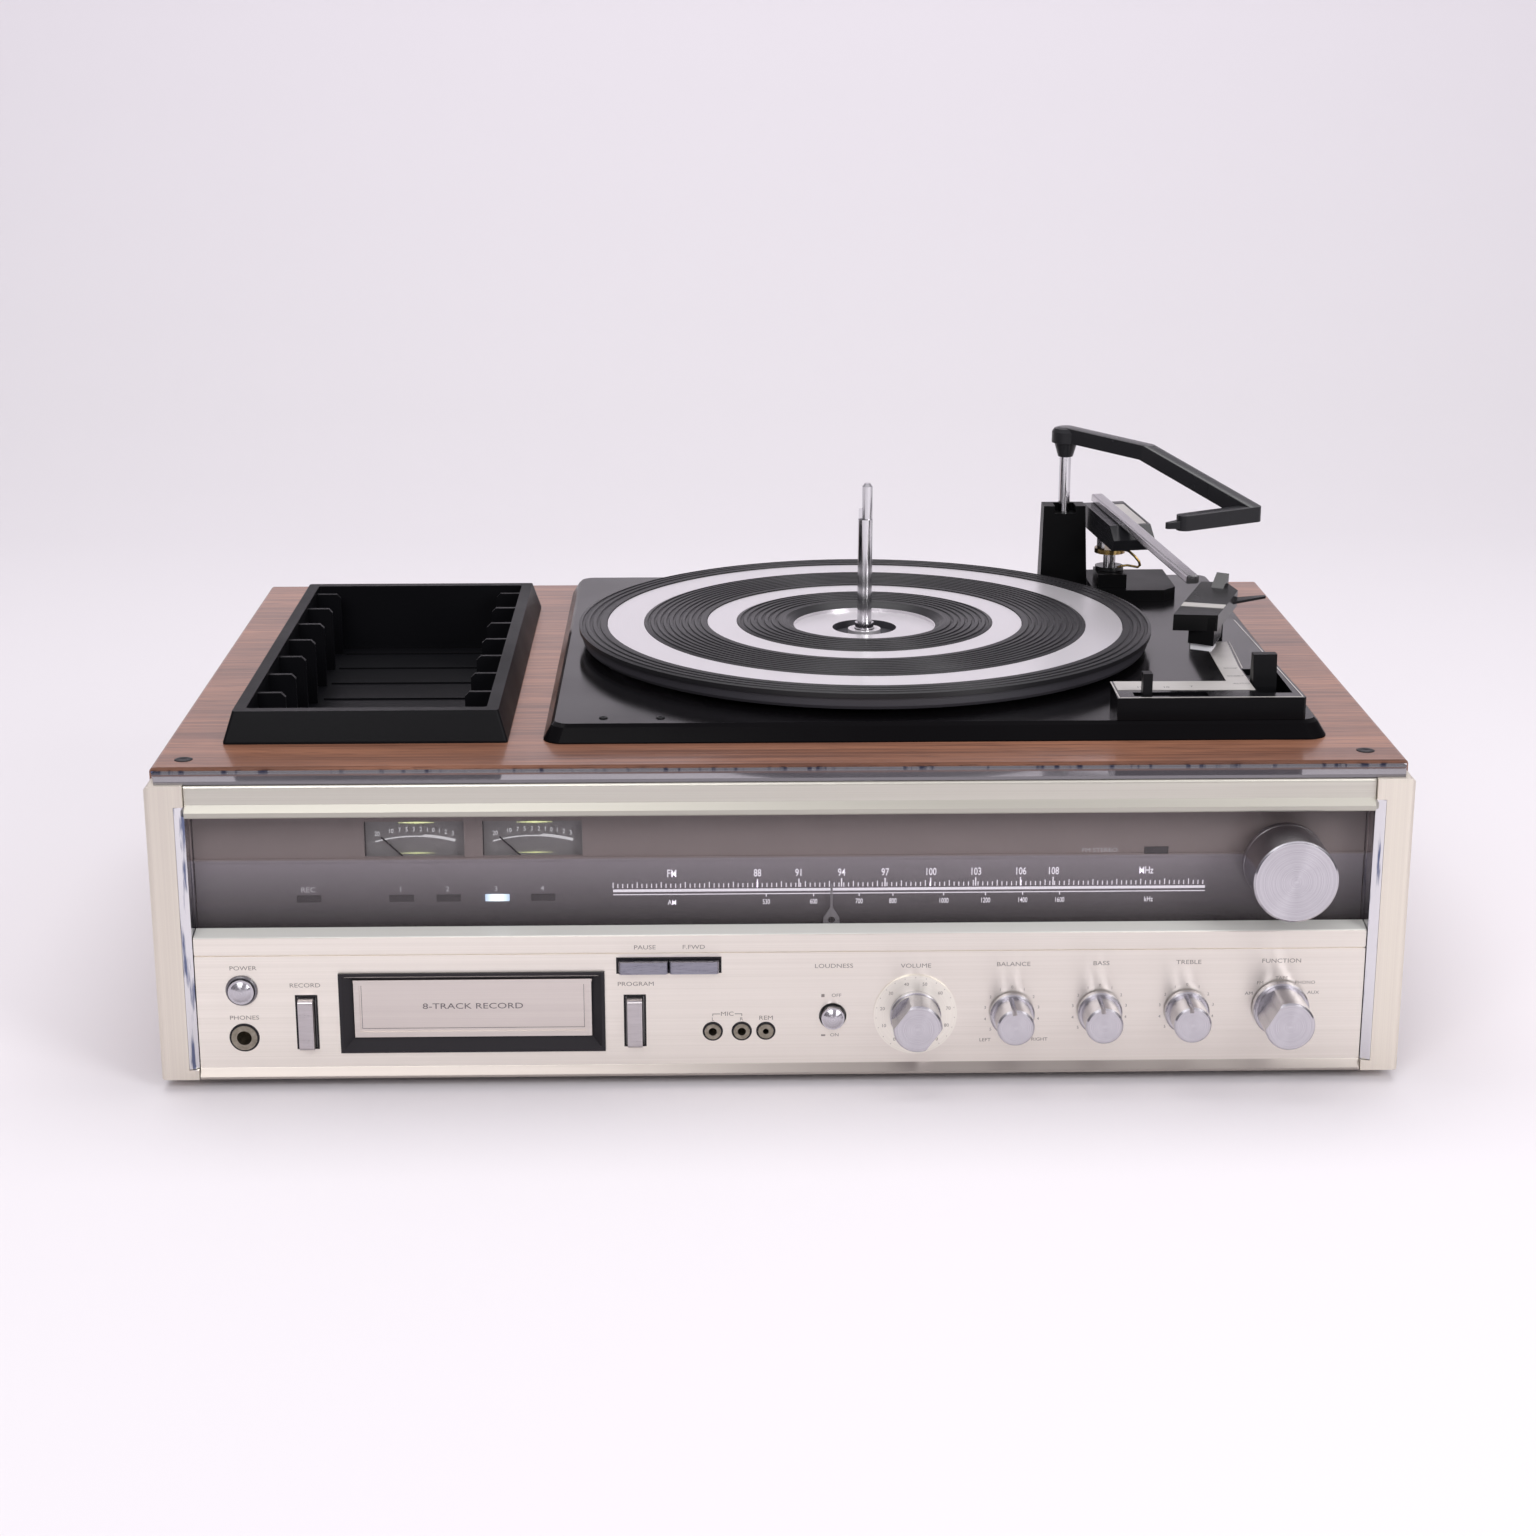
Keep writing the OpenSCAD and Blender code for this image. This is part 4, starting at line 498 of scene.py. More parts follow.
# %% Knobs
KNOBS = {
    "volume_knob": (57.9, 26.9), "balance_knob": (100, 27.1), "bass_knob": (138.2, 27.6),
    "treble_knob": (176.2, 27.7), "function_knob": (217, 29.1), "tuning_knob": (217.2, 92.7),
    "power_button": (-233.5, 40.3), "loudness_button": (22, 26.3),
}
DISC_X, DISC_Z = KNOBS["volume_knob"]
for knob, (x, z) in KNOBS.items():
    metal = spun_metal("spun_" + knob, at(x, 0, z), (1, 0, 1), "Y", shade(208, 205, 210),
                       shade(184, 181, 187), 0.22, fan=0.88)
    wear(metal, knob)
print("knobs dressed:", len(KNOBS))

# %% [markdown]
# ## Keys, jacks and the cartridge door
# The tape keys are satin grey, the jacks nickel, and the door carries a thin brushed
# plate. The bezel round it is black moulding.

# %% Keys, jacks and door
satin_grey = brushed_metal("satin_keys", shade(196, 190, 192), shade(186, 180, 182), rough=0.28,
                           stretch=(200, 2000, 2000))
door_plate = brushed_metal("door_plate", shade(224, 216, 210), shade(216, 207, 202), rough=0.38)
dark_key = brushed_metal("tape_keys", shade(150, 149, 160), shade(132, 131, 142), rough=0.26,
                         stretch=(200, 2000, 2000))
nickel = brushed_metal("nickel", shade(160, 153, 140), shade(128, 121, 108), rough=0.3,
                       stretch=(700, 700, 700))
zinc = brushed_metal("zinc_plate", shade(158, 158, 156), shade(134, 135, 136), rough=0.4,
                     stretch=(240, 240, 240), depth=0.00002)
wear(satin_grey, "record_key", "program_key")
wear(door_plate, "cartridge_door")
wear(dark_key, "pause_key", "forward_key")
wear(nickel, "front_jacks")
wear(zinc, "cartridge_guide", "tape_head", "tape_motor", "control_bodies", "platter_motor",
     "terminal_plate")
scale_disc = spun_metal("scale_disc", at(DISC_X, 0, DISC_Z), (1, 0, 1), "Y", shade(250, 246, 236),
                        shade(244, 239, 229), 0.42, fan=0.3)
wear(scale_disc, "volume_scale")

black_moulding = black_finish("black_moulding", shade(12, 12, 13), HAND_DUST, 0.36, 0.05)
arm_black = black_finish("arm_black", shade(34, 34, 37), HAND_DUST, 0.26, 0.04, 0.00001, shine=0.25,
                         top_shine=0.8)
bezel_black = black_finish("bezel_black", shade(46, 44, 47), HAND_DUST, 0.4, 0.04)
tray_black = black_finish("tray_black", shade(13, 13, 16), shade(80, 80, 84), 0.4, 0.04, specks=900.0,
                          shine=0.12)
wear(bezel_black, "cartridge_bezel")
wear(black_moulding, "holder_tower", "arm_base")
wear(arm_black, "record_holder", "arm_housing")
wear(tray_black, "cartridge_tray")
print("keys, jacks, door and tray dressed")

# %% [markdown]
# ## The changer
# The deck is pressed steel in black enamel with a soft shine. The mat is ribbed rubber,
# and two spun rings of the platter show between its bands.

# %% Deck, mat and platter
enamel = black_finish("black_enamel", shade(12, 11, 13), shade(110, 108, 112), 0.16, 0.04, 0.000004,
                      specks=1200.0, shine=0.04, top_shine=0.3)
wear(enamel, "deck")
cover_plastic = black_finish("cover_plastic", shade(14, 14, 16), shade(110, 108, 112), 0.14, 0.04, 0,
                             shine=0.06, top_shine=0.5)
wear(cover_plastic, "control_cover")
wear(black_finish("foot_rubber", shade(24, 24, 24), shade(90, 88, 86), 0.75, 0.3), "feet", "idler_wheel")

platter_centre = at(45.3, 201.6, 0)
MAT_EDGE, WELL_EDGE, SPINDLE_HOLE = 0.1267, 0.01564, 0.00815
rubber, tree, shader = start_material("mat_rubber", Anisotropic=0.7, Anisotropic_Rotation=0.25,
                                      Specular_IOR_Level=0.35)
run_round(tree, shader, "Z")
circles = place_group(tree, spun, Centre=platter_centre, Plane=(1, 1, 0), Rings=900.0)
marks = place_group(tree, dusty, Specks=500.0)
dusted = maths(tree, "MULTIPLY", marks.outputs["Dust"], 0.15)
paint(tree, shader, dusted, shade(30, 29, 32), shade(120, 116, 120))
roughen(tree, shader, circles.outputs["Rings"], 0.36, 0.5)
bump(tree, shader, circles.outputs["Rings"], 0.00001)
wear(rubber, "record_mat")
print("deck and mat dressed:", enamel.name, rubber.name)

# %% [markdown]
# The platter is one solid with two looks: bright spun rings and hub, and black paint on
# its rim and in the well round the spindle. A mask by the distance from the axis tells
# the paint where to go.

# %% Platter
bright_ring = spun_metal("platter_rings", platter_centre, (1, 1, 0), "Z", shade(226, 222, 226),
                         shade(223, 219, 223), 0.3, 1400.0, 0.4, 0.0000005)
tree, shader, metal_colour = painted_colour(bright_ring)
reach = [n for n in tree.nodes if n.type == "GROUP"][0].outputs["Radius"]
rim = step(tree, reach, MAT_EDGE - 0.0001, MAT_EDGE + 0.0001)
past_hole = step(tree, reach, SPINDLE_HOLE - 0.00005, SPINDLE_HOLE + 0.00005)
well = maths(tree, "MULTIPLY", past_hole, step(tree, reach, WELL_EDGE + 0.00002, WELL_EDGE - 0.00002))
painted = maths(tree, "MAXIMUM", rim, well)
paint(tree, shader, painted, metal_colour, shade(58, 56, 62))
tree.links.new(maths(tree, "MULTIPLY", maths(tree, "SUBTRACT", 1.0, painted), 0.62),
               shader.inputs["Metallic"])
ring_rough = shader.inputs["Roughness"].links[0].from_socket
tree.links.new(maths(tree, "ADD", ring_rough, maths(tree, "MULTIPLY", painted, 0.2)),
               shader.inputs["Roughness"])
wear(bright_ring, "platter")
print("changer dressed")

# %% [markdown]
# ## The arm and what is inside
# The tube is bare aluminium, the bearing ring and the leads are brass. The works under
# the deck and behind the front are seen only through vents, but they have a finish too.

# %% Arm, works and back
tube_metal = brushed_metal("arm_tube", shade(214, 211, 214), shade(198, 195, 199), rough=0.22,
                           stretch=(2400, 30, 2400))
wear(tube_metal, "tonearm")
brass = brushed_metal("brass", shade(168, 142, 92), shade(122, 100, 60), rough=0.26,
                      stretch=(500, 500, 500))
wear(brass, "motor_pulley")

PARK, SLOPE = math.radians(10.5), math.radians(4.6)
PIVOT = at(179.5, 302, 180.8)
ARM = Matrix.Translation(PIVOT) @ Matrix.Rotation(PARK, 4, "Z") @ Matrix.Rotation(SLOPE, 4, "X")
HEAD = ARM @ Matrix.Translation((-0.0142, -0.179, 0)) @ Matrix.Rotation(math.radians(-33), 4, "Z")


def height_in(tree, space):
    """How high a point of the surface lies in a tilted space, in millimetres."""
    up = space.col[2].xyz
    place = node(tree, "TexCoord").outputs["Object"]
    along_up = node(tree, "VectorMath", {0: place, 1: up}, operation="DOT_PRODUCT").outputs["Value"]
    return maths(tree, "MULTIPLY", maths(tree, "SUBTRACT", along_up, space.translation.dot(up)), 1000)


# %% [markdown]
# The yoke and the headshell are solids with more than one finish too. The yoke's two
# columns are steel between a black disc and a brass ring; the stylus guard under the
# black cartridge is white. Both use a height as the mask.

# %% Yoke and headshell
yoke_brass, tree, shader = start_material("yoke_brass", Metallic=1.0, Roughness=0.24)
YOKE_FOOT = at(179.5, 302, 0)
level = height_in(tree, Matrix.Translation(YOKE_FOOT))
place = node(tree, "TexCoord").outputs["Object"]
apart = node(tree, "VectorMath", {0: place, 1: YOKE_FOOT}, operation="SUBTRACT").outputs[0]
flat = node(tree, "VectorMath", {0: apart, 1: (1, 1, 0)}, operation="MULTIPLY").outputs[0]
reach = node(tree, "VectorMath", {0: flat}, operation="LENGTH").outputs["Value"]
between = maths(tree, "MULTIPLY", maths(tree, "LESS_THAN", level, 167.05),
                maths(tree, "LESS_THAN", reach, 0.0058))
steel = maths(tree, "MAXIMUM", between, maths(tree, "GREATER_THAN", level, 169.7))
black_disc = maths(tree, "LESS_THAN", level, 160.15)
tarnish = noise_of(tree, stretched(tree, (600, 600, 600)), 3.0)
gold = blend_colour(tree, step(tree, tarnish, 0.35, 0.65), shade(118, 96, 56), shade(172, 148, 98))
tinted = blend_colour(tree, steel, gold, shade(176, 174, 178))
paint(tree, shader, black_disc, tinted, shade(24, 24, 26))
tree.links.new(maths(tree, "SUBTRACT", 1.0, black_disc), shader.inputs["Metallic"])
wear(yoke_brass, "arm_yoke")

shell_black = black_finish("shell_black", shade(20, 20, 21), HAND_DUST, 0.24, 0.04, 0.00001, shine=0.12,
                           top_shine=0.5)
tree, shader, shell_colour = painted_colour(shell_black)
below = maths(tree, "LESS_THAN", height_in(tree, HEAD), -5.75)
paint(tree, shader, below, shell_colour, shade(236, 236, 240))
wear(shell_black, "headshell")
print("yoke and headshell dressed, arm pivot at", PIVOT)

# %% [markdown]
# What is left is seen through the vents or from behind and below.

# %% Works and back
iron = black_finish("pan_paint", shade(34, 34, 36), shade(100, 98, 96), 0.5, 0.2)
wear(iron, "bottom_pan", "power_transformer")
laminate, tree, shader = start_material("laminate", Roughness=0.5)
patches = node(tree, "TexVoronoi", {"Vector": stretched(tree, (120, 120, 120)),
                                    "Scale": 1.0}).outputs["Distance"]
paint(tree, shader, step(tree, patches, 0.1, 0.7), shade(116, 84, 46), shade(142, 106, 60))
wear(laminate, "circuit_board")
wear(nickel, "rear_fittings")
print("all CAD nodes have a finish")

# %% [markdown]
# ## Printed words and numbers
# The scales and the names of the controls are silk-screened. Text curves are the quickest
# way to real letters in Blender: each word is set, turned to face its panel, turned into
# a mesh and joined with the other words of that panel, a twentieth of a millimetre proud.

# %% Print helpers
FRONT = Matrix.Rotation(math.radians(90), 4, "X")


def thin_mesh(name, corners, faces):
    mesh = bpy.data.meshes.new(name)
    mesh.from_pydata([tuple(c) for c in corners], [], faces)
    made = bpy.data.objects.new(name, mesh)
    bpy.context.collection.objects.link(made)
    return made


def word(text, spot, tall, turn=FRONT, wide=1.0, bold=0.0, align="CENTER"):
    """One word as a mesh, its middle at the spot, with capitals as tall as given in mm."""
    curve = bpy.data.curves.new("word", "FONT")
    curve.body = text
    curve.size = tall / 1000 / 0.7
    curve.align_x = align
    curve.align_y = "CENTER"
    curve.resolution_u = 3
    curve.offset = bold / 1000
    made = bpy.data.objects.new("word", curve)
    bpy.context.collection.objects.link(made)
    made.matrix_world = Matrix.Translation(spot) @ turn @ Matrix.Diagonal((wide, 1, 1, 1))
    bpy.context.view_layer.update()
    mesh = bpy.data.meshes.new_from_object(made.evaluated_get(bpy.context.evaluated_depsgraph_get()))
    mesh.transform(made.matrix_world)
    bpy.data.objects.remove(made)
    printed = bpy.data.objects.new("word", mesh)
    bpy.context.collection.objects.link(printed)
    return printed


def bar(low, high, y):
    """A printed bar on an upright panel, from one corner (x, z) to the other, at depth y."""
    (left, bottom), (right, top) = low, high
    corners = [at(left, y, bottom), at(right, y, bottom), at(right, y, top), at(left, y, top)]
    return thin_mesh("bar", corners, [(0, 1, 2, 3)])


def join(name, parts, material, body):
    bpy.ops.object.select_all(action="DESELECT")
    for part in parts:
        part.select_set(True)
    bpy.context.view_layer.objects.active = parts[0]
    bpy.ops.object.join()
    made = bpy.context.view_layer.objects.active
    made.name = name
    made.data.materials.clear()
    made.data.materials.append(material)
    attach(made, body)
    return made


def ink(name, light, dark, glow=0.0):
    made, tree, shader = start_material(name, Roughness=0.5, Emission_Strength=glow)
    blot = noise_of(tree, stretched(tree, (1500, 1500, 1500)))
    shown = blend_colour(tree, step(tree, blot, 0.3, 0.7), light, dark)
    tree.links.new(shown, shader.inputs["Base Color"])
    if glow:
        tree.links.new(shown, shader.inputs["Emission Color"])
    return made


# The pale and dim inks glow: their emission is painted light that makes the print read bright through the
# smoked window.
pale_ink_painted_glow = ink("pale_ink_painted_glow", shade(244, 238, 248), shade(232, 226, 236), 1.5)
dim_ink_painted_glow = ink("dim_ink_painted_glow", shade(206, 202, 208), shade(190, 186, 192), 0.9)
grey_ink = ink("grey_ink", shade(128, 120, 116), shade(142, 134, 130))

# %% [markdown]
# ## The tuning scale
# The dial shows two scales, FM above and AM below, on one pair of lines. The tick marks
# are printed bars, long at every fifth.

# %% Tuning scale
DIAL_Y = 16.72
dial_print = []
for number, x in ((88, -10.4), (91, 7.6), (94, 26.1), (97, 45.0), (100, 64.8), (103, 84.4), (106, 103.9),
                  (108, 118.1)):
    dial_print.append(word(str(number), at(x, DIAL_Y, 87.4), 3.3, wide=0.72, bold=0.04))
    dial_print.append(bar((x - 0.26, 81), (x + 0.26, 84.8), DIAL_Y))
for number, x in ((530, -6.6), (600, 14), (700, 33.8), (800, 48.5), (1000, 70.6), (1200, 88.8),
                  (1400, 105), (1600, 121.1)):
    dial_print.append(word(str(number), at(x, DIAL_Y, 74.2), 2.3, wide=0.66, bold=0.03))
    dial_print.append(bar((x - 0.2, 76.6), (x + 0.2, 77.8), DIAL_Y))
dial_print += [word("FM", at(-47.5, DIAL_Y, 87.4), 3.4, wide=0.72, bold=0.04),
               word("AM", at(-47.5, DIAL_Y, 74.2), 2.3, wide=0.8, bold=0.03),
               word("MHz", at(158.5, DIAL_Y, 87.4), 3.2, wide=0.72, bold=0.04),
               word("kHz", at(160, DIAL_Y, 74.2), 2.3, wide=0.72, bold=0.03)]
for tick in range(124):
    x = -73 + tick * 2.085
    dial_print.append(bar((x - 0.2, 81), (x + 0.2, 82.9 + (0.7 if tick % 5 == 0 else 0)), DIAL_Y))
dial_print += [bar((-73, 79.2), (184.5, 80.4), DIAL_Y), bar((-73, 77.8), (184.5, 78.2), DIAL_Y)]
join("dial_print", dial_print, pale_ink_painted_glow, "chassis")
lamp_print = [word("FM STEREO", at(138, DIAL_Y, 96.8), 1.9, wide=1.15)]
for label, x in (("REC", -204.8), ("1", -164.9), ("2", -144.6), ("3", -123.7), ("4", -103.6)):
    lamp_print.append(word(label, at(x, DIAL_Y, 81.1), 2.3, wide=1.1, bold=0.03))
join("lamp_print", lamp_print, dim_ink_painted_glow, "chassis")

# %% [markdown]
# ## Level meters
# Each meter has a pale scale card behind its needle, with an arc, numbers and a heavier
# stretch at the loud end. Light leaks in along the window's top and bottom edges.

# %% Level meters
METER_Y = 21.2
ARC_FOOT = 39.6
ARC_REACH = 64.0
FIGURE_REACH = 67.4
card_grey, tree, shader = start_material("meter_card", Roughness=0.6)
paper = noise_of(tree, stretched(tree, (500, 500, 500)))
paint(tree, shader, paper, shade(214, 212, 214), shade(224, 222, 224))
meter_print = []
edge_glow = []
for middle_x in (-158.3, -107.4):
    card = bar((middle_x - 21.3, 90), (middle_x + 21.3, 111.7), METER_Y + 0.1)
    join("meter_card_%d" % (middle_x < -130), [card], card_grey, "chassis")
    arc = []
    for step_no in range(25):
        turn = math.radians(-15.5 + 31 * step_no / 24)
        for reach in (ARC_REACH, ARC_REACH + (0.5 if step_no < 15 else 1.2)):
            arc.append(at(middle_x + reach * math.sin(turn), METER_Y, ARC_FOOT + reach * math.cos(turn)))
    strips = [(2 * i, 2 * i + 2, 2 * i + 3, 2 * i + 1) for i in range(24)]
    meter_print.append(thin_mesh("arc", arc, strips))
    for label, turn_deg in (("20", -14), ("10", -8.8), ("7", -5.6), ("5", -3), ("3", -0.4), ("2", 2.2),
                            ("1", 4.6), ("0", 6.8), ("1", 9), ("2", 11.4), ("3", 14)):
        turn = math.radians(turn_deg)
        x, z = middle_x + FIGURE_REACH * math.sin(turn), ARC_FOOT + FIGURE_REACH * math.cos(turn)
        meter_print.append(word(label, at(x, METER_Y, z), 2.0, wide=0.8))
    for z, deep in ((110.1, 0.34), (96.3, 0.18)):
        for part in range(7):
            x = middle_x - 7 + part * 2.2
            half = deep * (1 - abs(part - 3) / 4)
            edge_glow.append(bar((x, z - half), (x + 2.2, z + half), METER_Y - 0.3))
# The meter ink glows as well: painted light on the printed arc and figures.
join("meter_print", meter_print, ink("meter_ink_painted_glow", shade(226, 224, 228), shade(210, 208, 212), 1.3),
     "chassis")
join("meter_edge_light", edge_glow, ink("edge_light", shade(236, 240, 190), shade(206, 216, 140), 2.2),
     "chassis")

# %% [markdown]
# ## Names on the lower panel
# The panel's print is a soft grey. Volume runs round its disc from 0 to 90, balance and
# tone from 5 over 0 to 5, and the function knob points at a name.

# %% Panel print
PANEL_Y = 2.95
panel_print = []
for label, x, z in (
        ("POWER", -232.5, 50.4), ("PHONES", -233.0, 27.6), ("RECORD", -206.2, 42.3),
        ("PAUSE", -59.3, 58.6), ("F.FWD", -38.2, 58.6), ("PROGRAM", -63.4, 41.8), ("MIC", -23.9, 27.6),
        ("REM", -7.0, 25.6), ("LOUDNESS", 22.4, 49.4), ("VOLUME", 58.0, 49.2), ("BALANCE", 100.3, 49.6),
        ("BASS", 138.4, 49.7), ("TREBLE", 176.5, 49.9), ("FUNCTION", 216.9, 50.2)):
    panel_print.append(word(label, at(x, PANEL_Y, z), 1.9, wide=1.25))
for label, x, z in (
        ("L", -30.1, 25.2), ("R", -17.7, 25.2), ("OFF", 23.6, 35.8), ("ON", 22.8, 17.4),
        ("LEFT", 88.6, 14.5), ("RIGHT", 112.4, 14.6), ("AM", 203.3, 35.2), ("FM", 208.0, 40.0),
        ("TAPE", 217.3, 42.2), ("PHONO", 227.6, 40.1), ("AUX", 231.4, 35.4)):
    panel_print.append(word(label, at(x, PANEL_Y, z), 1.5, wide=1.15))
panel_print += [bar((17, 35.1), (18.4, 36.5), PANEL_Y), bar((17, 16.9), (18.8, 17.7), PANEL_Y),
                bar((-30.3, 27.5), (-27, 27.8), PANEL_Y), bar((-20.6, 27.5), (-17.4, 27.8), PANEL_Y),
                bar((-30.3, 26.6), (-30.0, 27.8), PANEL_Y), bar((-17.7, 26.6), (-17.4, 27.8), PANEL_Y)]
for x, z in (KNOBS["balance_knob"], KNOBS["bass_knob"], KNOBS["treble_knob"]):
    for mark in range(-5, 6):
        turn = math.radians(mark * 26)
        sin_t, cos_t = math.sin(turn), math.cos(turn)
        panel_print.append(word(str(abs(mark)), at(x + 11.9 * sin_t, PANEL_Y, z + 11.9 * cos_t), 1.35))
join("panel_print", panel_print, grey_ink, "chassis")

DISC_Y = 2.15
HALF_DOT = 0.15
scale_print = []
for mark in range(10):
    turn = math.radians(-142 + mark * 284 / 9)
    spot = at(DISC_X + 14.6 * math.sin(turn), DISC_Y, DISC_Z + 14.6 * math.cos(turn))
    scale_print.append(word(str(mark * 10), spot, 1.5))
for mark in range(19):
    turn = math.radians(-142 + mark * 284 / 18)
    x, z = DISC_X + 17.1 * math.sin(turn), DISC_Z + 17.1 * math.cos(turn)
    scale_print.append(bar((x - HALF_DOT, z - HALF_DOT), (x + HALF_DOT, z + HALF_DOT), DISC_Y))
join("volume_print", scale_print, grey_ink, "chassis")

# %% [markdown]
# ## The door's plate
# The door carries its use in words, inside a thin line. It is drawn as four thin bars on
# the sunk face of the door and rides on the door, so that it swings inwards with it.

# %% Door print
DOOR_Y = 5.93
door_print = [word("8-TRACK RECORD", at(-134.3, DOOR_Y, 31.0), 2.6, wide=1.42)]
for low, high in (((-182.6, 41.0), (-86.0, 41.2)), ((-182.6, 20.9), (-86.0, 21.1)),
                  ((-182.6, 20.9), (-182.4, 41.2)), ((-86.2, 20.9), (-86.0, 41.2))):
    door_print.append(bar(low, high, DOOR_Y))
join("door_print", door_print, ink("door_ink", shade(96, 90, 92), shade(112, 106, 108)), "door")
print("front printed")

# %% [markdown]
# ## The changer's label strips
# The L-shaped cover has a silver strip of the same shape, with the record sizes and the
# words for the start lever, and thin bright lines along its edges. All are thin plates
# with a bevel, so that they catch the light along their edges.

# %% Cover strips
TOP_Z = 154.8


def finish_form(form, name, material, body, space=None):
    """Turns a bmesh into a piece that rides on a body."""
    bmesh.ops.recalc_face_normals(form, faces=form.faces)
    if space:
        form.transform(space)
    mesh = bpy.data.meshes.new(name)
    form.to_mesh(mesh)
    form.free()
    made = bpy.data.objects.new(name, mesh)
    bpy.context.collection.objects.link(made)
    mesh.materials.append(material)
    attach(made, body)
    return made


def raise_plate(form, face, lift, bevel, segments):
    """Pulls a face up by lift (mm) and bevels the rim of the new top."""
    raised = bmesh.ops.extrude_face_region(form, geom=[face])
    tops = [v for v in raised["geom"] if isinstance(v, bmesh.types.BMVert)]
    bmesh.ops.translate(form, verts=tops, vec=(0, 0, lift / 1000))
    rim = [e for e in form.edges if all(v in tops for v in e.verts)]
    bmesh.ops.bevel(form, geom=rim, offset=bevel / 1000, segments=segments, affect="EDGES")


def plate_on_top(name, outline, thick, material, bevel=0.15):
    """A thin bevelled plate on a level surface, from its outline (x, y) in mm."""
    form = bmesh.new()
    ring = [form.verts.new(at(x, y, TOP_Z + 0.02)) for x, y in outline]
    face = form.faces.new(ring)
    face.normal_update()
    if face.normal.z < 0:
        face.normal_flip()
    raise_plate(form, face, thick, bevel, 1)
    return finish_form(form, name, material, "chassis")


strip_metal = brushed_metal("label_strip", shade(206, 202, 198), shade(196, 192, 188), rough=0.34,
                            stretch=(40, 2000, 2000))
strip_metal.node_tree.nodes["Principled BSDF"].inputs["Metallic"].default_value = 0.5
LABEL = [(151, 68), (212.4, 67.2), (212.4, 108), (215.4, 155), (204.2, 155), (202, 82), (151, 82.4)]
plate_on_top("label_strip", LABEL, 0.25, strip_metal)
LINES = [
    [(150.4, 54.6), (231.4, 54.6), (231.4, 55.2), (150.4, 55.2)],
    [(230.9, 55), (231.5, 55), (227.2, 199.5), (226.6, 199.5)],
    [(149.6, 54.6), (150.2, 54.6), (150.2, 82.4), (149.6, 82.4)],
    [(213.4, 106), (213.9, 106), (216.8, 155), (216.3, 155)],
]
for number, outline in enumerate(LINES):
    plate_on_top("cover_line_%d" % number, outline, 0.15, strip_metal, bevel=0.05)
TOP = Matrix.Identity(4)
cover_print = []
for label, x, y, tall in (
        ("12", 161.4, 71.9, 2.2), ("10", 173.2, 71.6, 2.2), ("7", 184.7, 72.6, 2.2),
        ("STOP", 208, 104.4, 1.9), ("START", 207.8, 90.3, 1.9), ("AUTO", 208, 77.2, 1.9)):
    cover_print.append(word(label, at(x, y, TOP_Z + 0.29), tall, TOP, wide=1.0))
join("cover_print", cover_print, ink("cover_ink", shade(70, 68, 70), shade(88, 86, 88)), "chassis")
print("bright lines on the cover:", len(LINES))

# %% [markdown]
# ## Details of the tonearm
# The housing has a silver inset in its top, the headshell a silver band near its front
# end. They sit in the arm's own measures: x to its right, y back along it, z up, so one
# matrix takes them from there to the player.

# %% Arm details
def bevelled(name, outline, low, high, space, material, bevel=0.2):
    """A bevelled plate in the arm's or the head's measures, in mm, from low to high in z."""
    form = bmesh.new()
    ring = [form.verts.new((x / 1000, y / 1000, low / 1000)) for x, y in outline]
    face = form.faces.new(ring)
    raise_plate(form, face, high - low, bevel, 2)
    return finish_form(form, name, material, "arm", space)


bevelled("housing_inset", [(4.9, -19.6), (12.7, -19.6), (12.7, 17.6), (4.9, 17.6)], 6.25, 6.75, ARM,
         strip_metal)
bevelled("head_band", [(-13.3, 10), (5.9, 14), (5.9, 20), (-13.3, 16)], 8.95, 9.25, HEAD, strip_metal,
         0.08)
print("arm details on body arm: housing_inset, head_band")

# %% [markdown]
# ## Small turned pieces
# A glossy dark ring frames the power button, thin dark washers sit round the jacks, two
# screws hold the deck and two dark plugs fill the wood in front. All of them are turned
# forms, so one function sweeps a profile round an axis.

# %% Rings, washers, screws and plugs


def turned_piece(name, centre, profile, material, upright=False, sides=48):
    """Sweeps a closed profile of (radius, depth or height) in mm round the centre (x, z) or (x, y)."""
    form = bmesh.new()
    rings = []
    for reach, along in profile:
        ring = []
        for side in range(sides):
            turn = 2 * math.pi * side / sides
            first, second = centre[0] + reach * math.cos(turn), centre[1] + reach * math.sin(turn)
            ring.append(form.verts.new(at(first, second, along) if upright else at(first, along, second)))
        rings.append(ring)
    for first, second in zip(rings, rings[1:] + rings[:1]):
        for side in range(sides):
            after = (side + 1) % sides
            form.faces.new((first[side], first[after], second[after], second[side]))
    for face in form.faces:
        face.smooth = True
    return finish_form(form, name, material, "chassis")


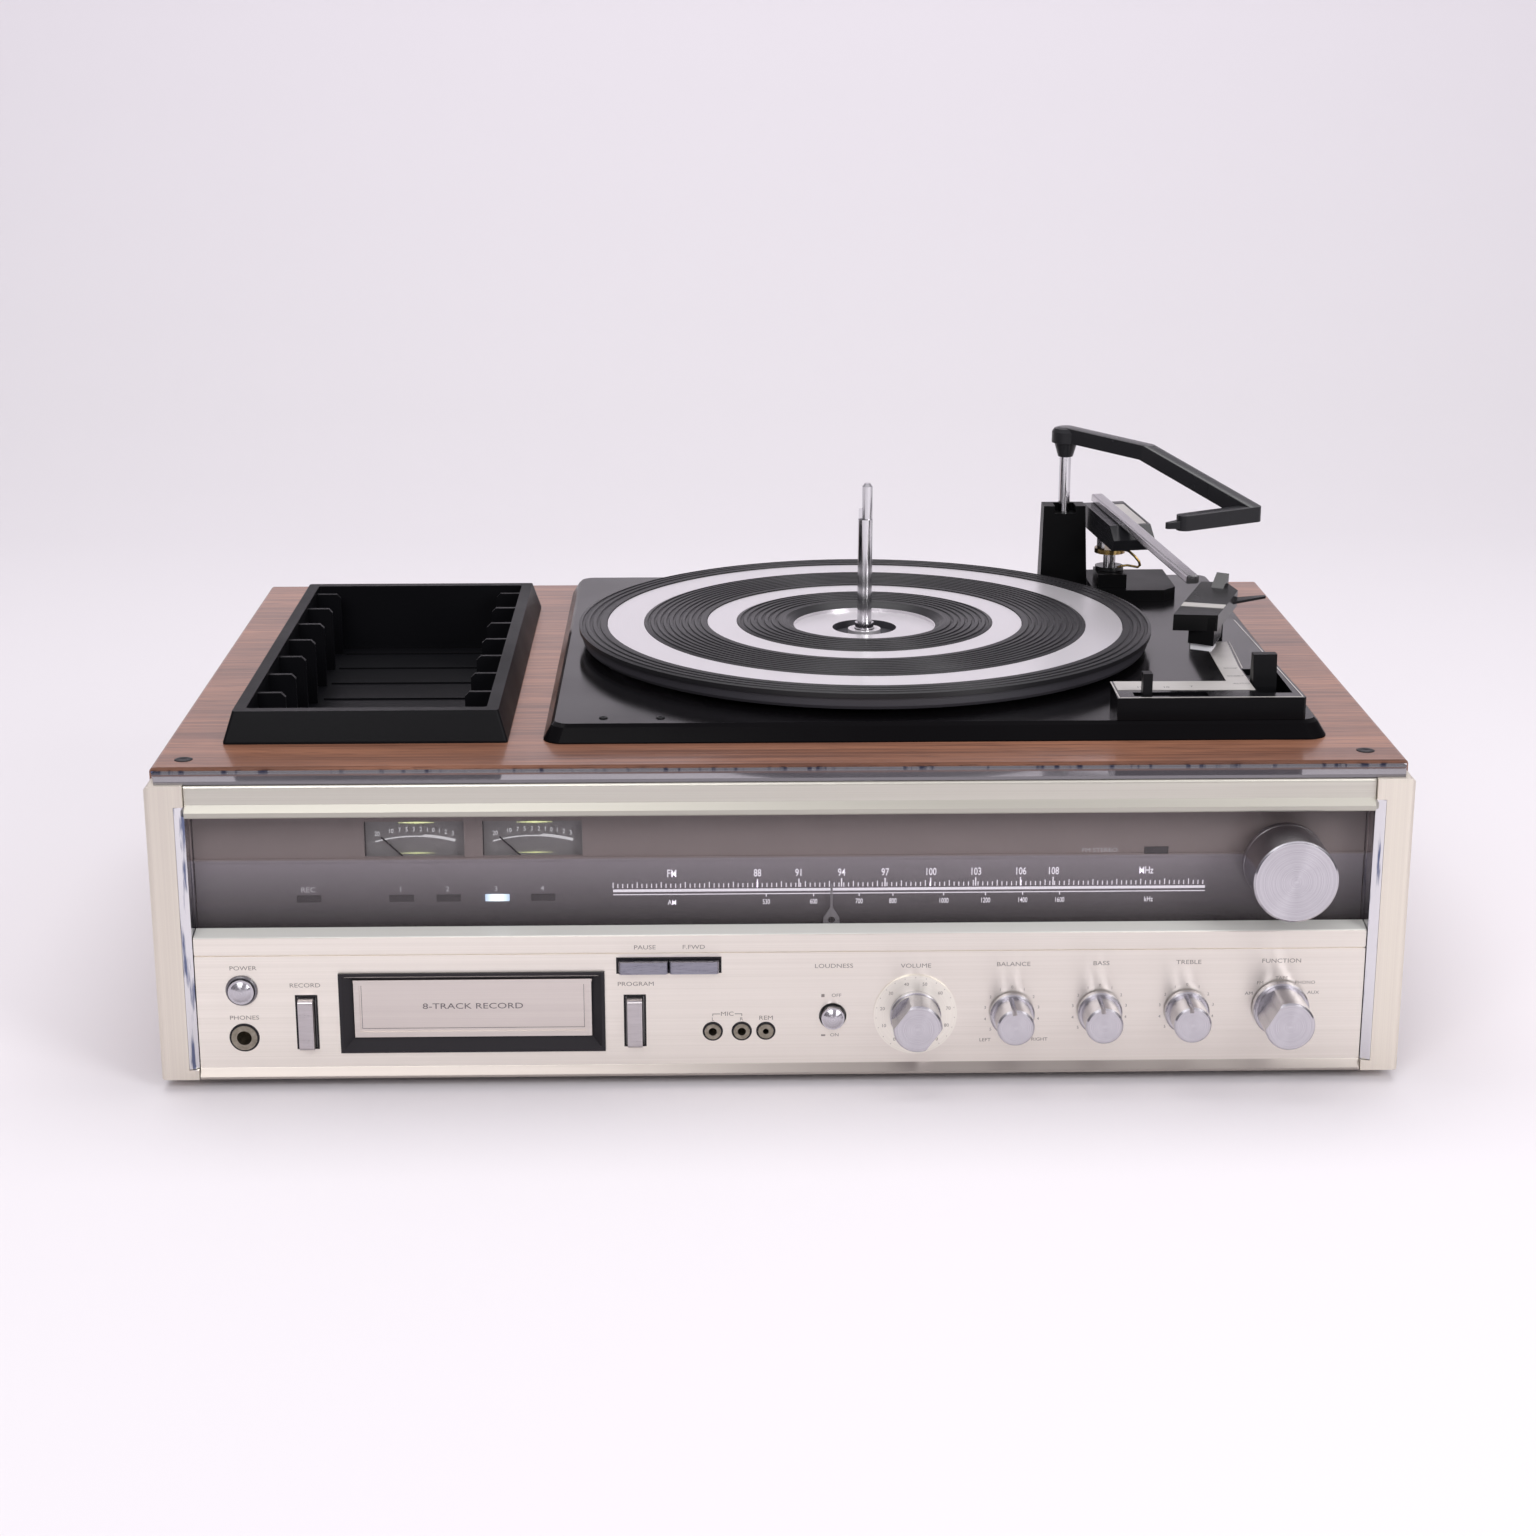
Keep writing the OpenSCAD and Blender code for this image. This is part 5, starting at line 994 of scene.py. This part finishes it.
RING = [(5.8, 3.4), (5.8, 2.0), (6.15, 1.6), (6.6, 1.9), (7.0, 2.7), (7.0, 2.97), (6.6, 3.4)]
turned_piece("power_ring", KNOBS["power_button"], RING, black_with_painted_sheen)
JACKS = [(-233.4, 18.5, 5.6), (-30.2, 19.6, 3.5), (-17.6, 19.6, 3.5), (-7.1, 19.6, 3.3)]
for number, (x, z, reach) in enumerate(JACKS):
    washer = [(reach + 0.05, 2.97), (reach + 0.05, 2.6), (reach + 0.5, 2.5), (reach + 0.95, 2.97)]
    turned_piece("jack_washer_%d" % number, (x, z), washer, bezel_black)
SCREW = [(0.5, 144.82), (0.5, 145.0), (0.9, 145.4), (1.7, 145.25), (2.1, 144.82)]
for number, (x, y) in enumerate([(-77.8, 62.6), (-52.5, 62.1)]):
    turned_piece("deck_screw_%d" % number, (x, y), SCREW, lever_black, True, 24)
PLUG = [(0.1, 136.82), (0.1, 137.05), (3.4, 137.05), (4.0, 136.82)]
for number, (x, y) in enumerate([(-257.4, 28.9), (254.6, 31.5)]):
    turned_piece("wood_plug_%d" % number, (x, y), PLUG, bezel_black, True, 32)
print("turned pieces: one ring,", len(JACKS), "washers, two screws, two plugs")

# %% [markdown]
# ## Sleeves round the keys
# The keys come through black sleeves, thin frames on the panel round the slots, which also
# stand in for the dark gap round each key as painted shade. Pause and forward share one.

# %% Key sleeves
# Each frame is in part painted shade: it darkens the gap round its key.
SLOTS = [(-210, 13.4, -201.8, 37.2), (-68, 13.4, -59.8, 36.2), (-71, 47.2, -27, 53.4)]
for number, (left, low, right, high) in enumerate(SLOTS):
    outer = [(left - 0.75, low - 0.5), (right + 0.75, low - 0.5), (right + 0.75, high + 0.75),
             (left - 0.75, high + 0.75)]
    inner = [(left + 0.1, low + 0.1), (right - 0.1, low + 0.1), (right - 0.1, high - 0.1),
             (left + 0.1, high - 0.1)]
    corners = [at(x, 2.97, z) for x, z in outer]
    corners += [at(x, 2.8, z) for x, z in outer]
    corners += [at(x, 2.8, z) for x, z in inner]
    corners += [at(x, 3.6, z) for x, z in inner]
    faces = []
    for ring in (0, 4, 8):
        for side in range(4):
            after = (side + 1) % 4
            faces.append((ring + side, ring + after, ring + 4 + after, ring + 4 + side))
    join("key_sleeve_and_slot_shade_%d" % number, [thin_mesh("sleeve", corners, faces)], bezel_black, "chassis")
print("key sleeves:", len(SLOTS))

# %% [markdown]
# ## The studio
# The photograph has a white sweep under very soft light from above and in front. A floor
# that curves up into a backdrop gives the even pale ground. The paper is a little darker
# high up, out of the camera's sight, so that the polished tops mirror less of it in front
# than at the back, as they do in the photograph.

# %% Floor and backdrop
BEND_START, BEND = 1.0, 0.9
HALF_PAPER = 1.7
profile = [(-2.2, 0.0), (BEND_START, 0.0)]
for degrees in range(10, 100, 10):
    turn = math.radians(degrees)
    profile.append((BEND_START + BEND * math.sin(turn), BEND - BEND * math.cos(turn)))
profile.append((BEND_START + BEND, 1.3))
corners = [(side * HALF_PAPER, y, z) for y, z in profile for side in (-1, 1)]
faces = [(2 * i, 2 * i + 1, 2 * i + 3, 2 * i + 2) for i in range(len(profile) - 1)]
sweep = thin_mesh("studio_sweep", corners, faces)
for face in sweep.data.polygons:
    face.use_smooth = True
paper_white, tree, shader = start_material("paper_white", Roughness=0.9)
noise = noise_of(tree, stretched(tree, (1.2, 1.2, 1.2)))
paper = blend_colour(tree, noise, shade(221, 217, 221), shade(225, 221, 225))
height = height_above_ground(tree)
lifted = blend_colour(tree, step(tree, height, 0.05, 0.4), paper, shade(234, 229, 235))
# Painted shade: the paper is painted darker high up, where it stands for paper lying in shade.
paint(tree, shader, step(tree, height, 0.65, 1.2), lifted, shade(192, 188, 194))
sweep.data.materials.append(paper_white)
print("backdrop profile points:", len(profile))

# %% [markdown]
# ## Light
# Three large lamps give the soft tops and the pale front. The world past the backdrop has
# two looks: one pale colour where the camera looks, and a room that falls off to the sides
# and below, which is what lights the player and what its metal and glass mirror.

# %% Lamps and world


def soft_lamp(name, place, aim, size, power):
    light = bpy.data.lights.new(name, "AREA")
    light.shape = "RECTANGLE"
    light.size, light.size_y = size
    light.energy = power
    lamp = bpy.data.objects.new(name, light)
    bpy.context.collection.objects.link(lamp)
    lamp.location = place
    lamp.rotation_euler = (Vector(aim) - Vector(place)).to_track_quat("-Z", "Y").to_euler()
    return lamp


soft_lamp("front_softbox", (-0.7, -2.1, 1.6), (0, 0, 0.1), (1.3, 1.0), 20)
soft_lamp("right_softbox", (1.25, -1.45, 0.9), (0.1, 0, 0.08), (0.7, 0.9), 15)
soft_lamp("top_softbox", (0, 0.4, 1.9), (0, 0.1, 0), (2.0, 1.2), 22)
world = bpy.data.worlds.new("studio_air")
bpy.context.scene.world = world
world.use_nodes = True
sky = world.node_tree
air = sky.nodes["Background"]
way = node(sky, "SeparateXYZ", {0: node(sky, "TexCoord").outputs["Generated"]})
overhead = step(sky, way.outputs[2], -0.1, 0.8)
beside = step(sky, maths(sky, "ABSOLUTE", way.outputs[0]), 0.45, 0.95)
room = maths(sky, "MULTIPLY", overhead, maths(sky, "SUBTRACT", 1.0, maths(sky, "MULTIPLY", beside, 0.5)))
dark_room = blend_colour(sky, room, shade(100, 96, 102), shade(242, 238, 244))
seen = node(sky, "LightPath").outputs["Is Camera Ray"]
sky.links.new(blend_colour(sky, seen, dark_room, shade(248, 243, 249)), air.inputs["Color"])
air.inputs["Strength"].default_value = 0.8
bpy.context.scene.view_settings.view_transform = "Standard"
print("lamps:", len(bpy.data.lights))

# %% [markdown]
# ## The camera
# The lens and the place come from the photograph's perspective: the camera stands 1.1 m
# in front of the player and 47 cm above its base, and looks a little down.

# %% Camera
lens_data = bpy.data.cameras.new("photo_camera")
lens_data.sensor_width = 36.0
lens_data.lens = 65.05
camera = bpy.data.objects.new("photo_camera", lens_data)
bpy.context.collection.objects.link(camera)
camera.location = at(-29.3, -1122.8, 474.5)
camera.rotation_euler = (math.radians(90 - 16.59), math.radians(0.03), math.radians(-1.19))
bpy.context.scene.camera = camera
print("camera at", tuple(round(v, 4) for v in camera.location))
